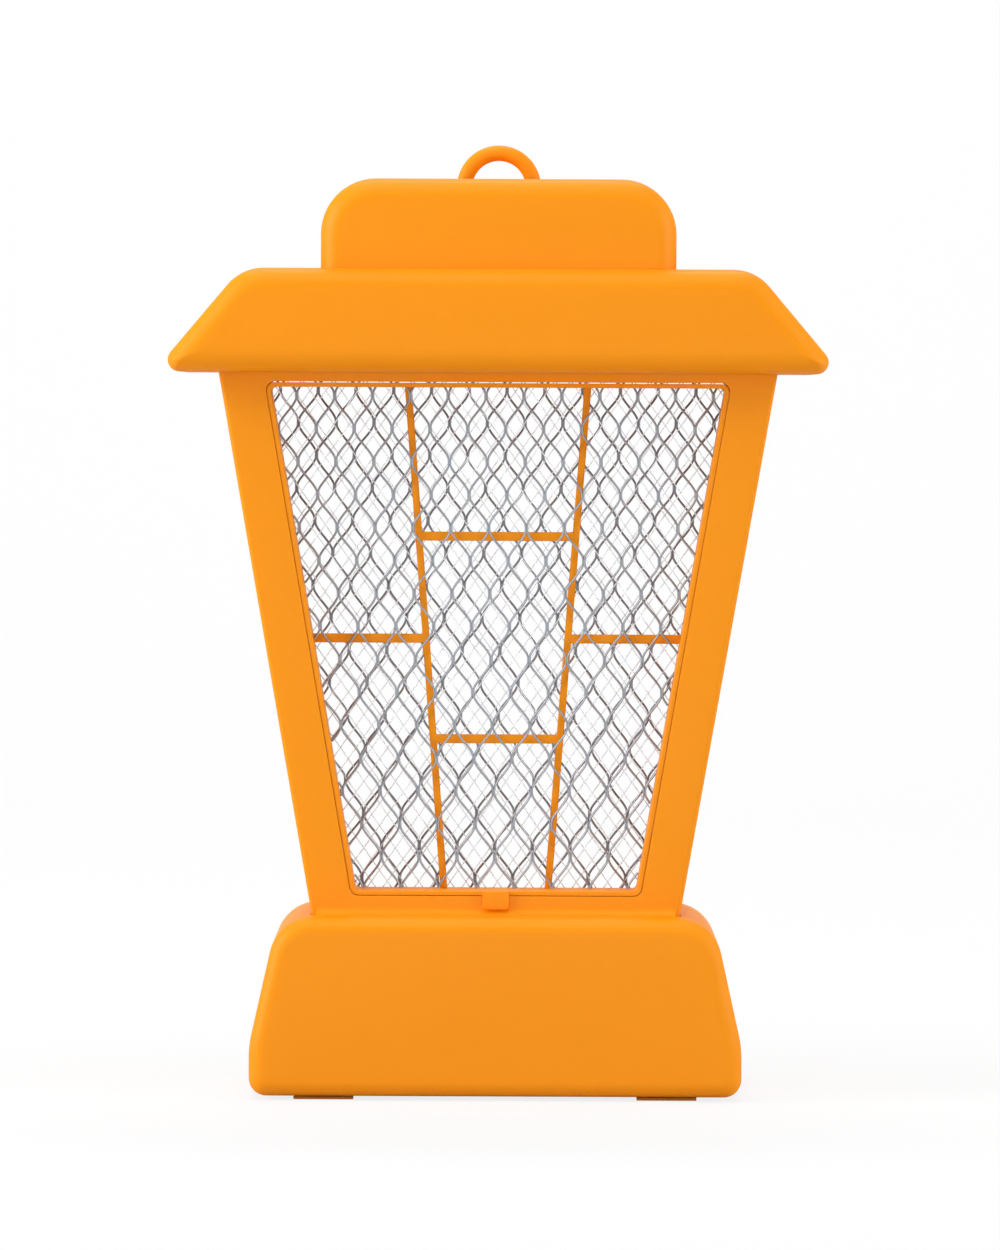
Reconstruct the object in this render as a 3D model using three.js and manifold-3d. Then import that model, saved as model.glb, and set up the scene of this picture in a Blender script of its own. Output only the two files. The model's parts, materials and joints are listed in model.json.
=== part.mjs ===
// A battery lantern that kills insects: a hollow base with two C cells and a step-up circuit, a trapezoid
// frame that holds a live grid between two guard grids, and a hollow roof with a hanging loop.
// Millimetres. X runs to the right, Y to the back and Z up, from the middle of the footprint.
import * as THREE from "three";
import { mergeVertices } from "three/addons/utils/BufferGeometryUtils.js";
import Module from "manifold-3d";

const wasm = await Module();
wasm.setup();

// Shared sizes
const GAP = 0.3; // clearance between neighbouring pieces
const WALL = 2; // thickness of the moulded shells
const BODY_HALF_DEPTH = 30; // base and roof, front to back
const SEAM_Y = 12; // where the front and rear shells meet
const ARC_STEPS = 4; // straight pieces in each rounded corner
const FAR = 400; // well outside the lantern, for boxes that cut it in two

// Base
const BASE_BOTTOM = 1;
const BASE_TOP = 49;
const BASE_HALF_WIDTH = 66;
const BASE_TOP_HALF_WIDTH = 58.3;
const BASE_BEND_Z = 14.4; // the sides are upright below this height and lean in above it
const BASE_RIM = 4.2;
const FOOT_HALF_LENGTH = 8;
const FOOT_HALF_WIDTH = 2;
const FOOT_X = 46;
const FRONT_FOOT_Y = -23.4;
const REAR_FOOT_Y = 19;

// Roof and the cap on it
const ROOF_BOTTOM = 194.6;
const ROOF_TOP = 222.4;
const ROOF_TIP_HALF_WIDTH = 91.9; // where the slopes would meet the underside with sharp tips
const ROOF_TOP_HALF_WIDTH = 68.5;
const ROOF_RIM = 4.6;
const CAP_HALF_WIDTH = 47.6;
const CAP_TOP = 246.5;
const CAP_HALF_DEPTH = 24;
const CAP_RIM = 5;

// Grid frame, a trapezoid that is wider at the top
const FRAME_BOTTOM = 42;
const FRAME_TOP = 201;
const FRAME_HALF_DEPTH = 19;
const FRAME_LEAN = 0.1744; // how far each side moves out per millimetre of height
const FRAME_HALF_WIDTH_LOW = 48.3; // at the bottom of the frame
const OPENING_BOTTOM = 54.2;
const OPENING_TOP = 192.2;
const OPENING_HALF_WIDTH_LOW = 39;
const OPENING_HALF_WIDTH_HIGH = 62.6;
const OPENING_RADIUS = 2.4;
const LINER = 1.6; // thickness of the wall that lines the opening
const REAR_GROWTH = 2.2; // the rear opening is this much larger all round
const SIDE_RELIEF = 1.8; // behind its front wall the front opening is this much wider each side

// Front guard
const GUARD_RIM = 1.2;
const GUARD_FRONT = -18.6;
const GUARD_BACK = -6.6;
const GUARD_DRAFT = 0.7; // the rim's outside tapers in by this much towards the back
const GUARD_PIVOT_Y = -17.8;
const GUARD_PIVOT_Z = 189.6;
const GUARD_PIN_RADIUS = 0.8;
const GUARD_PIN_LENGTH = 3.4;
const GUARD_PIN_REACH = 2.4; // how far each pin stands out past the opening's side
const BAR_HEIGHT = 2.4;
const BAR_WIDTH = 1.9;
const BAR_DEPTH = 2.4;
const MULLION_X_HIGH = 24.3;
const MULLION_X_LOW = 14;
const MIDDLE_BARS = [95.9, 150.6]; // heights of the bars between the two uprights
const SIDE_BAR_Z = 123;
const TAB_HALF_WIDTH = 3.6;
const TAB_BOTTOM = 50.6;
const TAB_FRONT = -20.4;

// Grids
const GUARD_GRID_Y = -10.2;
const REAR_GRID_Y = 10.2;
const GUARD_GRID_BORDER = 0.8;
const REAR_GRID_BORDER = 1.4;
const RETAINER_DEPTH = 3;
const SHEET = 0.6;
const COARSE_PITCH_X = 10.4;
const COARSE_PITCH_Z = 18.1;
const COARSE_STRAND = 0.75;
const COARSE_SKEW = 0.0236; // the columns of diamonds drift sideways by this much per millimetre
const LIVE_PITCH_X = 15.6;
const LIVE_PITCH_Z = 22;
const LIVE_STRAND = 0.6;
const LIVE_OVERLAP = 3; // how far its border reaches past the front opening, between the two liners
const LIVE_BORDER = 3.5;

// Hanging loop
const LOOP_RADIUS = 9.3;
const LOOP_ROD_RADIUS = 2.1;
const LOOP_DROP = 1.7; // the middle of the ring's arch lies this far below the cap's top
const LOOP_PIVOT_Z = CAP_TOP - WALL - LOOP_ROD_RADIUS - 0.4;
const LOOP_SLOT_HALF_LENGTH = 5.6;
const LOOP_SLOT_SPARE = 0.5; // room on the inner side, where the arch begins to bend in
const LOOP_BAR_OVERHANG = 1.6; // the cross bar passes each leg's middle by this much
const HOOK_X = 4;
const HOOK_HALF_WIDTH = 1.2;
const HOOK_REACH = 5; // from the cross bar's axis

// Cells and their bay
const CELL_RADIUS = 13.1;
const CELL_LENGTH = 48.6;
const CELL_Y = -6;
const CELL_Z = BASE_BOTTOM + WALL + 1 + CELL_RADIUS;
const CELL_NUB_RADIUS = 3;
const CELL_NUB_LENGTH = 1.5;
const CONTACT_THICKNESS = 0.6;
const CONTACT_HALF_WIDTH = 8;
const CONTACT_HALF_HEIGHT = 9;
const SPRING = { turns: 3.5, steps: 34, wideRadius: 6.5, narrowRadius: 3.5, wireRadius: 0.45 };
const BAY_LEFT = -59;
const BAY_RIGHT = 52.5;
const BAY_WALL = 1.2;
const DOOR_HALF_WIDTH = 13.8; // front to back, wide enough for a cell to pass
const DOOR_THICKNESS = 1.8;
const DOOR_RIBS = [-30, 22];
const NOTCH_HALF_WIDTH = 8; // the finger notch in the door's rear edge
const NOTCH_DEPTH = 5;
const DOOR_FRONT_GAP = 0.7;

// Circuit
const BOARD_Y = 10.3;
const BOARD_THICKNESS = 1.5;
const BOARD_HALF_LENGTH = 44;
const BOARD_BOTTOM = 8;
const BOARD_TOP = 34;
const SWITCH_X = 30;
const SWITCH_Z = 25;
const SWITCH_TRAVEL = 5;
const THUMB_HALF_WIDTH = 3;
const THUMB_HALF_HEIGHT = 2.5;
const LED_X = 14;
const LED_RADIUS = 1.5;
const LED_FLANGE_RADIUS = 2.1;
const TRANSFORMER = { x: -26, z: 21, halfWidth: 9, halfHeight: 7.5, depth: 11, limb: 3 };
const CAPACITOR = { left: -9, right: 6, bottom: 14, top: 28, radius: 2, depth: 6.5 };
const RESISTOR = { left: -42, right: -33, z: 30.5, radius: 1.7 };
const TRANSISTOR = { x: -40, z: 14, radius: 2.4, height: 5, flat: 1.4 };
const LEAD_RADIUS = 0.7;
const LIVE_LEAD_X = 20;
const GUARD_LEAD_X = -16;

// Screws and their posts
const BASE_SCREW = { x: 53, z: 36.5 };
const ROOF_SCREW_PAIRS = [
  { x: 34, z: 234 },
  { x: 64, z: 208.5 },
];
const FRAME_SCREW_HEIGHTS = [66, 178];
const FRONT_POST_RADIUS = 3.2;
const REAR_POST_RADIUS = 4.4;
const SCREW_SLOT = { halfLength: 2, halfWidth: 0.4, depth: 0.7 };
const SCREW_SHANK_RADIUS = 1.4;
const SCREW_HEAD_RADIUS = 2.9;
const SCREW_HEAD_HEIGHT = 1.9;
const SCREW_LENGTH = 20;
const HOLE_RADIUS = 1.8;
const REAR_SINK = 7; // how deep the screw heads sit below the rear faces of base and roof
const CAP_SINK = 4;
const FRAME_SINK = 4;

// Triangles of one diamond prism, corners 0-3 in front and 4-7 behind
const DIAMOND_FACES = [
  [0, 1, 2, 0, 2, 3],
  [4, 6, 5, 4, 7, 6],
  [0, 4, 5, 0, 5, 1],
  [1, 5, 6, 1, 6, 2],
  [2, 6, 7, 2, 7, 3],
  [3, 7, 4, 3, 4, 0],
].flat();

const MATERIALS = {
  shell: new THREE.MeshStandardMaterial({ color: 0xf7931d, roughness: 0.35, metalness: 0 }),
  steel: new THREE.MeshStandardMaterial({ color: 0x9a9fa6, roughness: 0.35, metalness: 1 }),
  live: new THREE.MeshStandardMaterial({ color: 0xc4c7cb, roughness: 0.3, metalness: 1 }),
  screw: new THREE.MeshStandardMaterial({ color: 0x77797d, roughness: 0.4, metalness: 1 }),
  rubber: new THREE.MeshStandardMaterial({ color: 0x2a2a2a, roughness: 0.9, metalness: 0 }),
  blackPlastic: new THREE.MeshStandardMaterial({ color: 0x1d1d1f, roughness: 0.5, metalness: 0 }),
  board: new THREE.MeshStandardMaterial({ color: 0x2f6b3c, roughness: 0.6, metalness: 0 }),
  ferrite: new THREE.MeshStandardMaterial({ color: 0x3a3a3d, roughness: 0.7, metalness: 0 }),
  copperTape: new THREE.MeshStandardMaterial({ color: 0xd8b23a, roughness: 0.5, metalness: 0 }),
  film: new THREE.MeshStandardMaterial({ color: 0x7a2a20, roughness: 0.4, metalness: 0 }),
  ceramic: new THREE.MeshStandardMaterial({ color: 0x7fa8c9, roughness: 0.5, metalness: 0 }),
  lens: new THREE.MeshStandardMaterial({ color: 0xd02020, roughness: 0.2, metalness: 0 }),
  cell: new THREE.MeshStandardMaterial({ color: 0x3b3f46, roughness: 0.35, metalness: 0 }),
  nickel: new THREE.MeshStandardMaterial({ color: 0xc9c6bd, roughness: 0.3, metalness: 1 }),
  redWire: new THREE.MeshStandardMaterial({ color: 0xb02020, roughness: 0.5, metalness: 0 }),
  blackWire: new THREE.MeshStandardMaterial({ color: 0x202020, roughness: 0.5, metalness: 0 }),
};

// ---- Solids ----

function solidOf(geometry) {
  const bare = geometry.clone();
  bare.deleteAttribute("normal");
  bare.deleteAttribute("uv");
  const merged = mergeVertices(bare, 1e-3);
  return new wasm.Manifold(
    new wasm.Mesh({
      numProp: 3,
      vertProperties: new Float32Array(merged.attributes.position.array),
      triVerts: new Uint32Array(merged.index.array),
    }),
  );
}

function geometryOf(solid) {
  const mesh = solid.getMesh();
  const geometry = new THREE.BufferGeometry();
  geometry.setAttribute("position", new THREE.BufferAttribute(new Float32Array(mesh.vertProperties), 3));
  geometry.setIndex(new THREE.BufferAttribute(new Uint32Array(mesh.triVerts), 1));
  geometry.computeVertexNormals();
  return geometry;
}

const box = (x0, x1, y0, y1, z0, z1) =>
  solidOf(new THREE.BoxGeometry(x1 - x0, y1 - y0, z1 - z0).translate((x0 + x1) / 2, (y0 + y1) / 2, (z0 + z1) / 2));

// A round bar along Y
const barAlongY = (x, z, radius, y0, y1, sides = 10) =>
  solidOf(new THREE.CylinderGeometry(radius, radius, y1 - y0, sides).translate(x, (y0 + y1) / 2, z));

// A round bar along X
const barAlongX = (y, z, radius, x0, x1, sides = 10) =>
  solidOf(
    new THREE.CylinderGeometry(radius, radius, x1 - x0, sides).rotateZ(Math.PI / 2).translate((x0 + x1) / 2, y, z),
  );

// A round rod along a smooth path
function tube(points, radius, sides, steps) {
  const section = new THREE.Shape().absarc(0, 0, radius, 0, 2 * Math.PI, false);
  const path = new THREE.CatmullRomCurve3(points.map((p) => new THREE.Vector3(...p)));
  return solidOf(new THREE.ExtrudeGeometry(section, { curveSegments: sides / 2, steps, extrudePath: path }));
}

// ---- Outlines in the X-Z plane, anticlockwise seen from the front ----

// Corners of an outline that is the same left and right, from its right half listed upwards as [x, z, radius]
const mirrored = (rightHalf) => [...rightHalf, ...rightHalf.map(([x, z, r]) => [-x, z, r]).reverse()];

// The outline with each side moved in by the same distance, or out if it is negative
function insetCorners(corners, inset) {
  const count = corners.length;
  const shifted = corners.map(([x, z], i) => {
    const [nextX, nextZ] = corners[(i + 1) % count];
    const length = Math.hypot(nextX - x, nextZ - z);
    const along = [(nextX - x) / length, (nextZ - z) / length];
    return { point: [x - along[1] * inset, z + along[0] * inset], along };
  });
  return corners.map(([, , radius], i) => {
    const before = shifted[(i + count - 1) % count];
    const after = shifted[i];
    const cross = before.along[0] * after.along[1] - before.along[1] * after.along[0];
    const dx = after.point[0] - before.point[0];
    const dz = after.point[1] - before.point[1];
    const reach = (dx * after.along[1] - dz * after.along[0]) / cross;
    const newRadius = Math.max(radius - inset, 0.3);
    return [before.point[0] + before.along[0] * reach, before.point[1] + before.along[1] * reach, newRadius];
  });
}

// Points of the outline, each corner an arc that touches both its sides
function outlinePoints(corners, steps = ARC_STEPS) {
  const count = corners.length;
  return corners.flatMap(([x, z, radius], i) => {
    const corner = new THREE.Vector2(x, z);
    const before = new THREE.Vector2(...corners[(i + count - 1) % count]).sub(corner).normalize();
    const after = new THREE.Vector2(...corners[(i + 1) % count]).sub(corner).normalize();
    const halfAngle = Math.acos(before.dot(after)) / 2;
    const middle = before.clone().add(after).normalize();
    const centre = corner.clone().addScaledVector(middle, radius / Math.sin(halfAngle));
    const start = corner.clone().addScaledVector(before, radius / Math.tan(halfAngle)).sub(centre);
    const turn = Math.PI - 2 * halfAngle;
    return Array.from({ length: steps + 1 }, (_, k) =>
      start.clone().rotateAround(new THREE.Vector2(), (turn * k) / steps).add(centre),
    );
  });
}

// A closed solid through rings of points that lie at rising y
function loft(rings) {
  const count = rings[0].points.length;
  const positions = rings.flatMap(({ points, y }) => points.flatMap((p) => [p.x, y, p.y]));
  const index = [];
  for (let ring = 0; ring + 1 < rings.length; ring++)
    for (let i = 0; i < count; i++) {
      const a = ring * count + i;
      const b = ring * count + ((i + 1) % count);
      index.push(a, a + count, b + count, a, b + count, b);
    }
  const last = (rings.length - 1) * count;
  for (const [a, b, c] of THREE.ShapeUtils.triangulateShape(rings[0].points, [])) index.push(a, b, c);
  for (const [a, b, c] of THREE.ShapeUtils.triangulateShape(rings.at(-1).points, []))
    index.push(last + a, last + c, last + b);
  const geometry = new THREE.BufferGeometry();
  geometry.setAttribute("position", new THREE.Float32BufferAttribute(positions, 3));
  geometry.setIndex(index);
  return solidOf(geometry);
}

const slab = (corners, y0, y1) =>
  loft([y0, y1].map((y) => ({ points: outlinePoints(corners), y })));

// A slab whose front and back rims are rounded
function softSlab(corners, y0, y1, rim, rimSteps = 3) {
  const quarter = Array.from({ length: rimSteps + 1 }, (_, i) => (i / rimSteps) * (Math.PI / 2));
  const ring = (turn, y) => ({ points: outlinePoints(insetCorners(corners, rim * (1 - Math.sin(turn)))), y });
  const front = quarter.map((turn) => ring(turn, y0 + rim * (1 - Math.cos(turn))));
  const back = quarter.map((turn) => ring(turn, y1 - rim * (1 - Math.cos(turn)))).reverse();
  return loft([...front, ...back]);
}

// ---- Outlines of this lantern ----

const baseOutline = mirrored([
  [BASE_HALF_WIDTH, BASE_BOTTOM, 4.8],
  [BASE_HALF_WIDTH, BASE_BEND_Z, 30],
  [BASE_TOP_HALF_WIDTH, BASE_TOP, 12],
]);

const roofOutline = mirrored([
  [ROOF_TIP_HALF_WIDTH, ROOF_BOTTOM, 3.2],
  [ROOF_TOP_HALF_WIDTH, ROOF_TOP, 12.7],
]);

const capOutline = mirrored([
  [CAP_HALF_WIDTH, ROOF_TOP - 8, 1],
  [CAP_HALF_WIDTH, CAP_TOP, 14.8],
]);

const frameHalfWidth = (z) => FRAME_HALF_WIDTH_LOW + (z - FRAME_BOTTOM) * FRAME_LEAN;

const frameOutline = (bottom, top) =>
  mirrored([
    [frameHalfWidth(bottom), bottom, 1],
    [frameHalfWidth(top), top, 1],
  ]);

const openingOutline = mirrored([
  [OPENING_HALF_WIDTH_LOW, OPENING_BOTTOM, OPENING_RADIUS],
  [OPENING_HALF_WIDTH_HIGH, OPENING_TOP, OPENING_RADIUS],
]);

const rearOpeningOutline = insetCorners(openingOutline, -REAR_GROWTH);

// The front opening behind its lip, wider so that the guard can tilt
const wellOutline = mirrored([
  [OPENING_HALF_WIDTH_LOW + SIDE_RELIEF, OPENING_BOTTOM, OPENING_RADIUS],
  [OPENING_HALF_WIDTH_HIGH + SIDE_RELIEF, OPENING_TOP, OPENING_RADIUS],
]);

const openingHalfWidth = (z) =>
  THREE.MathUtils.mapLinear(z, OPENING_BOTTOM, OPENING_TOP, OPENING_HALF_WIDTH_LOW, OPENING_HALF_WIDTH_HIGH);

// The guard's own outline
const guardOutline = mirrored([
  [openingHalfWidth(OPENING_BOTTOM) - GAP, OPENING_BOTTOM + GAP, OPENING_RADIUS],
  [openingHalfWidth(OPENING_TOP) - GAP, OPENING_TOP - GAP, OPENING_RADIUS],
]);

// ---- Screws and the posts that take them ----

const baseScrews = [-1, 1].map((side) => ({ x: side * BASE_SCREW.x, z: BASE_SCREW.z }));
const roofScrews = [-1, 1].flatMap((side) => ROOF_SCREW_PAIRS.map(({ x, z }) => ({ x: side * x, z })));

// Halfway between the frame's side wall and the liner
const frameScrewX = (z) => (frameHalfWidth(z) - WALL + openingHalfWidth(z) + REAR_GROWTH + LINER) / 2;
const frameScrews = [-1, 1].flatMap((side) =>
  FRAME_SCREW_HEIGHTS.map((z) => ({ x: side * frameScrewX(z), z })),
);

// A post on the front piece that the screw bites into
const frontPost = ({ x, z }, y0, y1) =>
  barAlongY(x, z, FRONT_POST_RADIUS, y0, y1).subtract(barAlongY(x, z, HOLE_RADIUS, y1 - SCREW_LENGTH, y1 + 1));

// A sunken post on the rear piece, drawn as what is added and what is cut out of it
const rearPostBody = ({ x, z }, y0, y1) => barAlongY(x, z, REAR_POST_RADIUS, y0, y1);
const rearPostBore = ({ x, z }, y0, y1, sink) =>
  barAlongY(x, z, HOLE_RADIUS, y0 - 1, y1).add(barAlongY(x, z, SCREW_HEAD_RADIUS + GAP, y1 - sink, y1 + 5));

function screw({ x, z }, seatY) {
  const head = barAlongY(x, z, SCREW_HEAD_RADIUS, seatY, seatY + SCREW_HEAD_HEIGHT);
  const shank = barAlongY(x, z, SCREW_SHANK_RADIUS, seatY - SCREW_LENGTH, seatY + 0.5, 6);
  const { halfLength, halfWidth, depth } = SCREW_SLOT;
  const top = seatY + SCREW_HEAD_HEIGHT;
  const slot = box(x - halfLength, x + halfLength, top - depth, top + 1, z - halfWidth, z + halfWidth);
  return head.add(shank).subtract(slot);
}

// ---- Base ----

const frameSocket = () => {
  const reach = FRAME_HALF_DEPTH + GAP;
  return slab(insetCorners(frameOutline(FRAME_BOTTOM - 1, FRAME_TOP + 1), -GAP), -reach, reach);
};

const frontHalf = () => box(-FAR, FAR, -FAR, SEAM_Y, -FAR, FAR);
const rearHalf = () => box(-FAR, FAR, SEAM_Y + GAP, FAR, -FAR, FAR);

const POST_START = -BODY_HALF_DEPTH + WALL / 2;

function baseBody() {
  const outer = softSlab(baseOutline, -BODY_HALF_DEPTH, BODY_HALF_DEPTH, BASE_RIM);
  const inner = softSlab(
    insetCorners(baseOutline, WALL),
    -BODY_HALF_DEPTH + WALL,
    BODY_HALF_DEPTH - WALL,
    BASE_RIM - WALL,
  );
  return outer.subtract(inner).subtract(frameSocket());
}

function baseFrontShell() {
  const doorway = box(
    BAY_LEFT + BAY_WALL,
    BAY_RIGHT - BAY_WALL,
    CELL_Y - DOOR_HALF_WIDTH - DOOR_FRONT_GAP,
    CELL_Y + DOOR_HALF_WIDTH + GAP,
    BASE_BOTTOM - 2,
    BASE_BOTTOM + WALL + 1,
  );
  let shell = baseBody().intersect(frontHalf()).subtract(doorway);
  for (const at of baseScrews) shell = shell.add(frontPost(at, POST_START, SEAM_Y));
  return shell;
}

function baseRearShell() {
  const rearWall = BODY_HALF_DEPTH;
  const inside = rearWall - 2 * WALL;
  const outside = rearWall + 1;
  const slotHalfWidth = THUMB_HALF_WIDTH + GAP;
  const slotHalfHeight = THUMB_HALF_HEIGHT + GAP;
  const switchSlot = box(
    SWITCH_X - slotHalfWidth,
    SWITCH_X + slotHalfWidth + SWITCH_TRAVEL,
    inside,
    outside,
    SWITCH_Z - slotHalfHeight,
    SWITCH_Z + slotHalfHeight,
  );
  const ledHole = barAlongY(LED_X, SWITCH_Z, LED_RADIUS + GAP, inside, outside);
  let shell = baseBody().intersect(rearHalf());
  for (const at of baseScrews) {
    shell = shell.add(rearPostBody(at, SEAM_Y + GAP, rearWall - WALL / 2));
    shell = shell.subtract(rearPostBore(at, SEAM_Y, rearWall, REAR_SINK));
  }
  return shell.subtract(switchSlot).subtract(ledHole);
}

const doorOutlineBox = () => [
  BAY_LEFT + BAY_WALL + GAP,
  BAY_RIGHT - BAY_WALL - GAP,
  CELL_Y - DOOR_HALF_WIDTH,
  CELL_Y + DOOR_HALF_WIDTH,
];

// A flat door with a finger notch in its rear edge and two stiffening ribs
function batteryDoor() {
  const [left, right, front, back] = doorOutlineBox();
  const top = BASE_BOTTOM + DOOR_THICKNESS;
  const panel = box(left, right, front, back, BASE_BOTTOM, top);
  const notch = box(-NOTCH_HALF_WIDTH, NOTCH_HALF_WIDTH, back - NOTCH_DEPTH, back + 1, 0, BASE_BOTTOM + 1);
  const ribBack = back - NOTCH_DEPTH - WALL;
  const rib = (x) => box(x - 0.6, x + 0.6, front + NOTCH_DEPTH, ribBack, top - 0.2, top + 0.6);
  return DOOR_RIBS.reduce((door, x) => door.add(rib(x)), panel.subtract(notch));
}

const footPad = (x, y) =>
  box(
    x - FOOT_HALF_LENGTH,
    x + FOOT_HALF_LENGTH,
    y - FOOT_HALF_WIDTH,
    y + FOOT_HALF_WIDTH,
    0,
    BASE_BOTTOM - GAP,
  );

// ---- Roof ----

function roofBody() {
  const outer = softSlab(roofOutline, -BODY_HALF_DEPTH, BODY_HALF_DEPTH, ROOF_RIM).add(
    softSlab(capOutline, -CAP_HALF_DEPTH, CAP_HALF_DEPTH, CAP_RIM),
  );
  const inner = softSlab(
    insetCorners(roofOutline, WALL),
    -BODY_HALF_DEPTH + WALL,
    BODY_HALF_DEPTH - WALL,
    ROOF_RIM - WALL,
  ).add(
    softSlab(insetCorners(capOutline, WALL), -CAP_HALF_DEPTH + WALL, CAP_HALF_DEPTH - WALL, CAP_RIM - WALL),
  );
  return outer.subtract(inner).subtract(frameSocket());
}

const loopSlot = (side) => {
  const inner = side * (LOOP_RADIUS - LOOP_ROD_RADIUS - GAP - LOOP_SLOT_SPARE);
  const outer = side * (LOOP_RADIUS + LOOP_ROD_RADIUS + GAP);
  return box(
    Math.min(inner, outer),
    Math.max(inner, outer),
    -LOOP_SLOT_HALF_LENGTH,
    LOOP_SLOT_HALF_LENGTH,
    CAP_TOP - WALL - 1,
    CAP_TOP + 1,
  );
};

function roofFrontShell() {
  let shell = roofBody().intersect(frontHalf()).subtract(loopSlot(-1)).subtract(loopSlot(1));
  for (const at of roofScrews) {
    const inCap = at.z > ROOF_TOP;
    shell = shell.add(frontPost(at, (inCap ? -CAP_HALF_DEPTH : -BODY_HALF_DEPTH) + WALL / 2, SEAM_Y));
  }
  // Two hooks under the top wall carry the loop's cross bar
  for (const side of [-1, 1]) {
    const left = side * HOOK_X - HOOK_HALF_WIDTH;
    const right = side * HOOK_X + HOOK_HALF_WIDTH;
    const hook = box(left, right, -HOOK_REACH, HOOK_REACH, LOOP_PIVOT_Z - HOOK_REACH, CAP_TOP - WALL / 2);
    const eye = barAlongX(0, LOOP_PIVOT_Z, LOOP_ROD_RADIUS + GAP, left - 1, right + 1, 12);
    shell = shell.add(hook.subtract(eye));
  }
  return shell;
}

function roofRearShell() {
  let shell = roofBody().intersect(rearHalf());
  for (const at of roofScrews) {
    const rearWall = at.z > ROOF_TOP ? CAP_HALF_DEPTH : BODY_HALF_DEPTH;
    const sink = at.z > ROOF_TOP ? CAP_SINK : REAR_SINK;
    shell = shell.add(rearPostBody(at, SEAM_Y + GAP, rearWall - WALL / 2));
    shell = shell.subtract(rearPostBore(at, SEAM_Y, rearWall, sink));
  }
  return shell;
}

// A half ring on two short legs, closed by a cross bar inside the cap
function hangingLoop() {
  const legHeight = CAP_TOP - LOOP_DROP - LOOP_PIVOT_Z;
  const archSteps = 12;
  const arch = Array.from({ length: archSteps + 1 }, (_, i) => {
    const turn = (i / archSteps) * Math.PI;
    return [Math.cos(turn) * LOOP_RADIUS, 0, legHeight + Math.sin(turn) * LOOP_RADIUS];
  });
  const rod = tube([[LOOP_RADIUS, 0, 0], ...arch, [-LOOP_RADIUS, 0, 0]], LOOP_ROD_RADIUS, 10, 22);
  const barEnd = LOOP_RADIUS + LOOP_BAR_OVERHANG;
  return rod.add(barAlongX(0, 0, LOOP_ROD_RADIUS, -barEnd, barEnd, 12));
}

// ---- Frame ----

// Half of the frame: a face with a mouth cut in it, side walls and a liner round the well behind the mouth;
// sign is -1 in front, 1 behind
function frameBezel(sign, mouth, well) {
  const face = sign * FRAME_HALF_DEPTH;
  const mid = sign * (GAP / 2);
  const linerEnd = sign * (SHEET / 2 + GAP);
  const between = (corners, a, b) => slab(corners, Math.min(a, b), Math.max(a, b));
  const outer = between(frameOutline(FRAME_BOTTOM, FRAME_TOP), mid, face);
  const tall = frameOutline(FRAME_BOTTOM - 20, FRAME_TOP + 20);
  const cavity = between(insetCorners(tall, WALL), mid - sign, face - sign * WALL);
  const liner = between(insetCorners(well, -LINER), linerEnd, face);
  let bezel = outer.subtract(cavity).add(liner).subtract(between(mouth, -sign, face + sign));
  bezel = bezel.subtract(between(well, -sign, face - sign * WALL));
  for (const at of frameScrews) {
    if (sign < 0) bezel = bezel.add(frontPost(at, face + WALL / 2, -GAP / 2));
    else {
      bezel = bezel.add(rearPostBody(at, linerEnd, face - WALL / 2));
      bezel = bezel.subtract(rearPostBore(at, 0, face, FRAME_SINK));
    }
  }
  return bezel;
}

// Sockets in the front half that take the guard's two hinge stubs
function frameFrontBezel() {
  const reach = openingHalfWidth(GUARD_PIVOT_Z) + 3;
  const sockets = barAlongX(GUARD_PIVOT_Y, GUARD_PIVOT_Z, GUARD_PIN_RADIUS + GAP, -reach, reach);
  return frameBezel(-1, openingOutline, wellOutline).subtract(sockets);
}

// ---- Front guard ----

const mullionX = (z) =>
  THREE.MathUtils.mapLinear(z, OPENING_BOTTOM, OPENING_TOP, MULLION_X_LOW, MULLION_X_HIGH);

// An upright divider bar that leans with the frame's side
function mullion(side) {
  const low = OPENING_BOTTOM + GUARD_RIM;
  const high = OPENING_TOP - GUARD_RIM;
  const half = BAR_WIDTH / 2;
  const corners = [
    [side * mullionX(low) - half, low, 0.01],
    [side * mullionX(low) + half, low, 0.01],
    [side * mullionX(high) + half, high, 0.01],
    [side * mullionX(high) - half, high, 0.01],
  ];
  return slab(corners, GUARD_BACK - BAR_DEPTH, GUARD_BACK);
}

const crossBar = (x0, x1, z) =>
  box(x0, x1, GUARD_BACK - BAR_DEPTH, GUARD_BACK, z - BAR_HEIGHT / 2, z + BAR_HEIGHT / 2);

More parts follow.
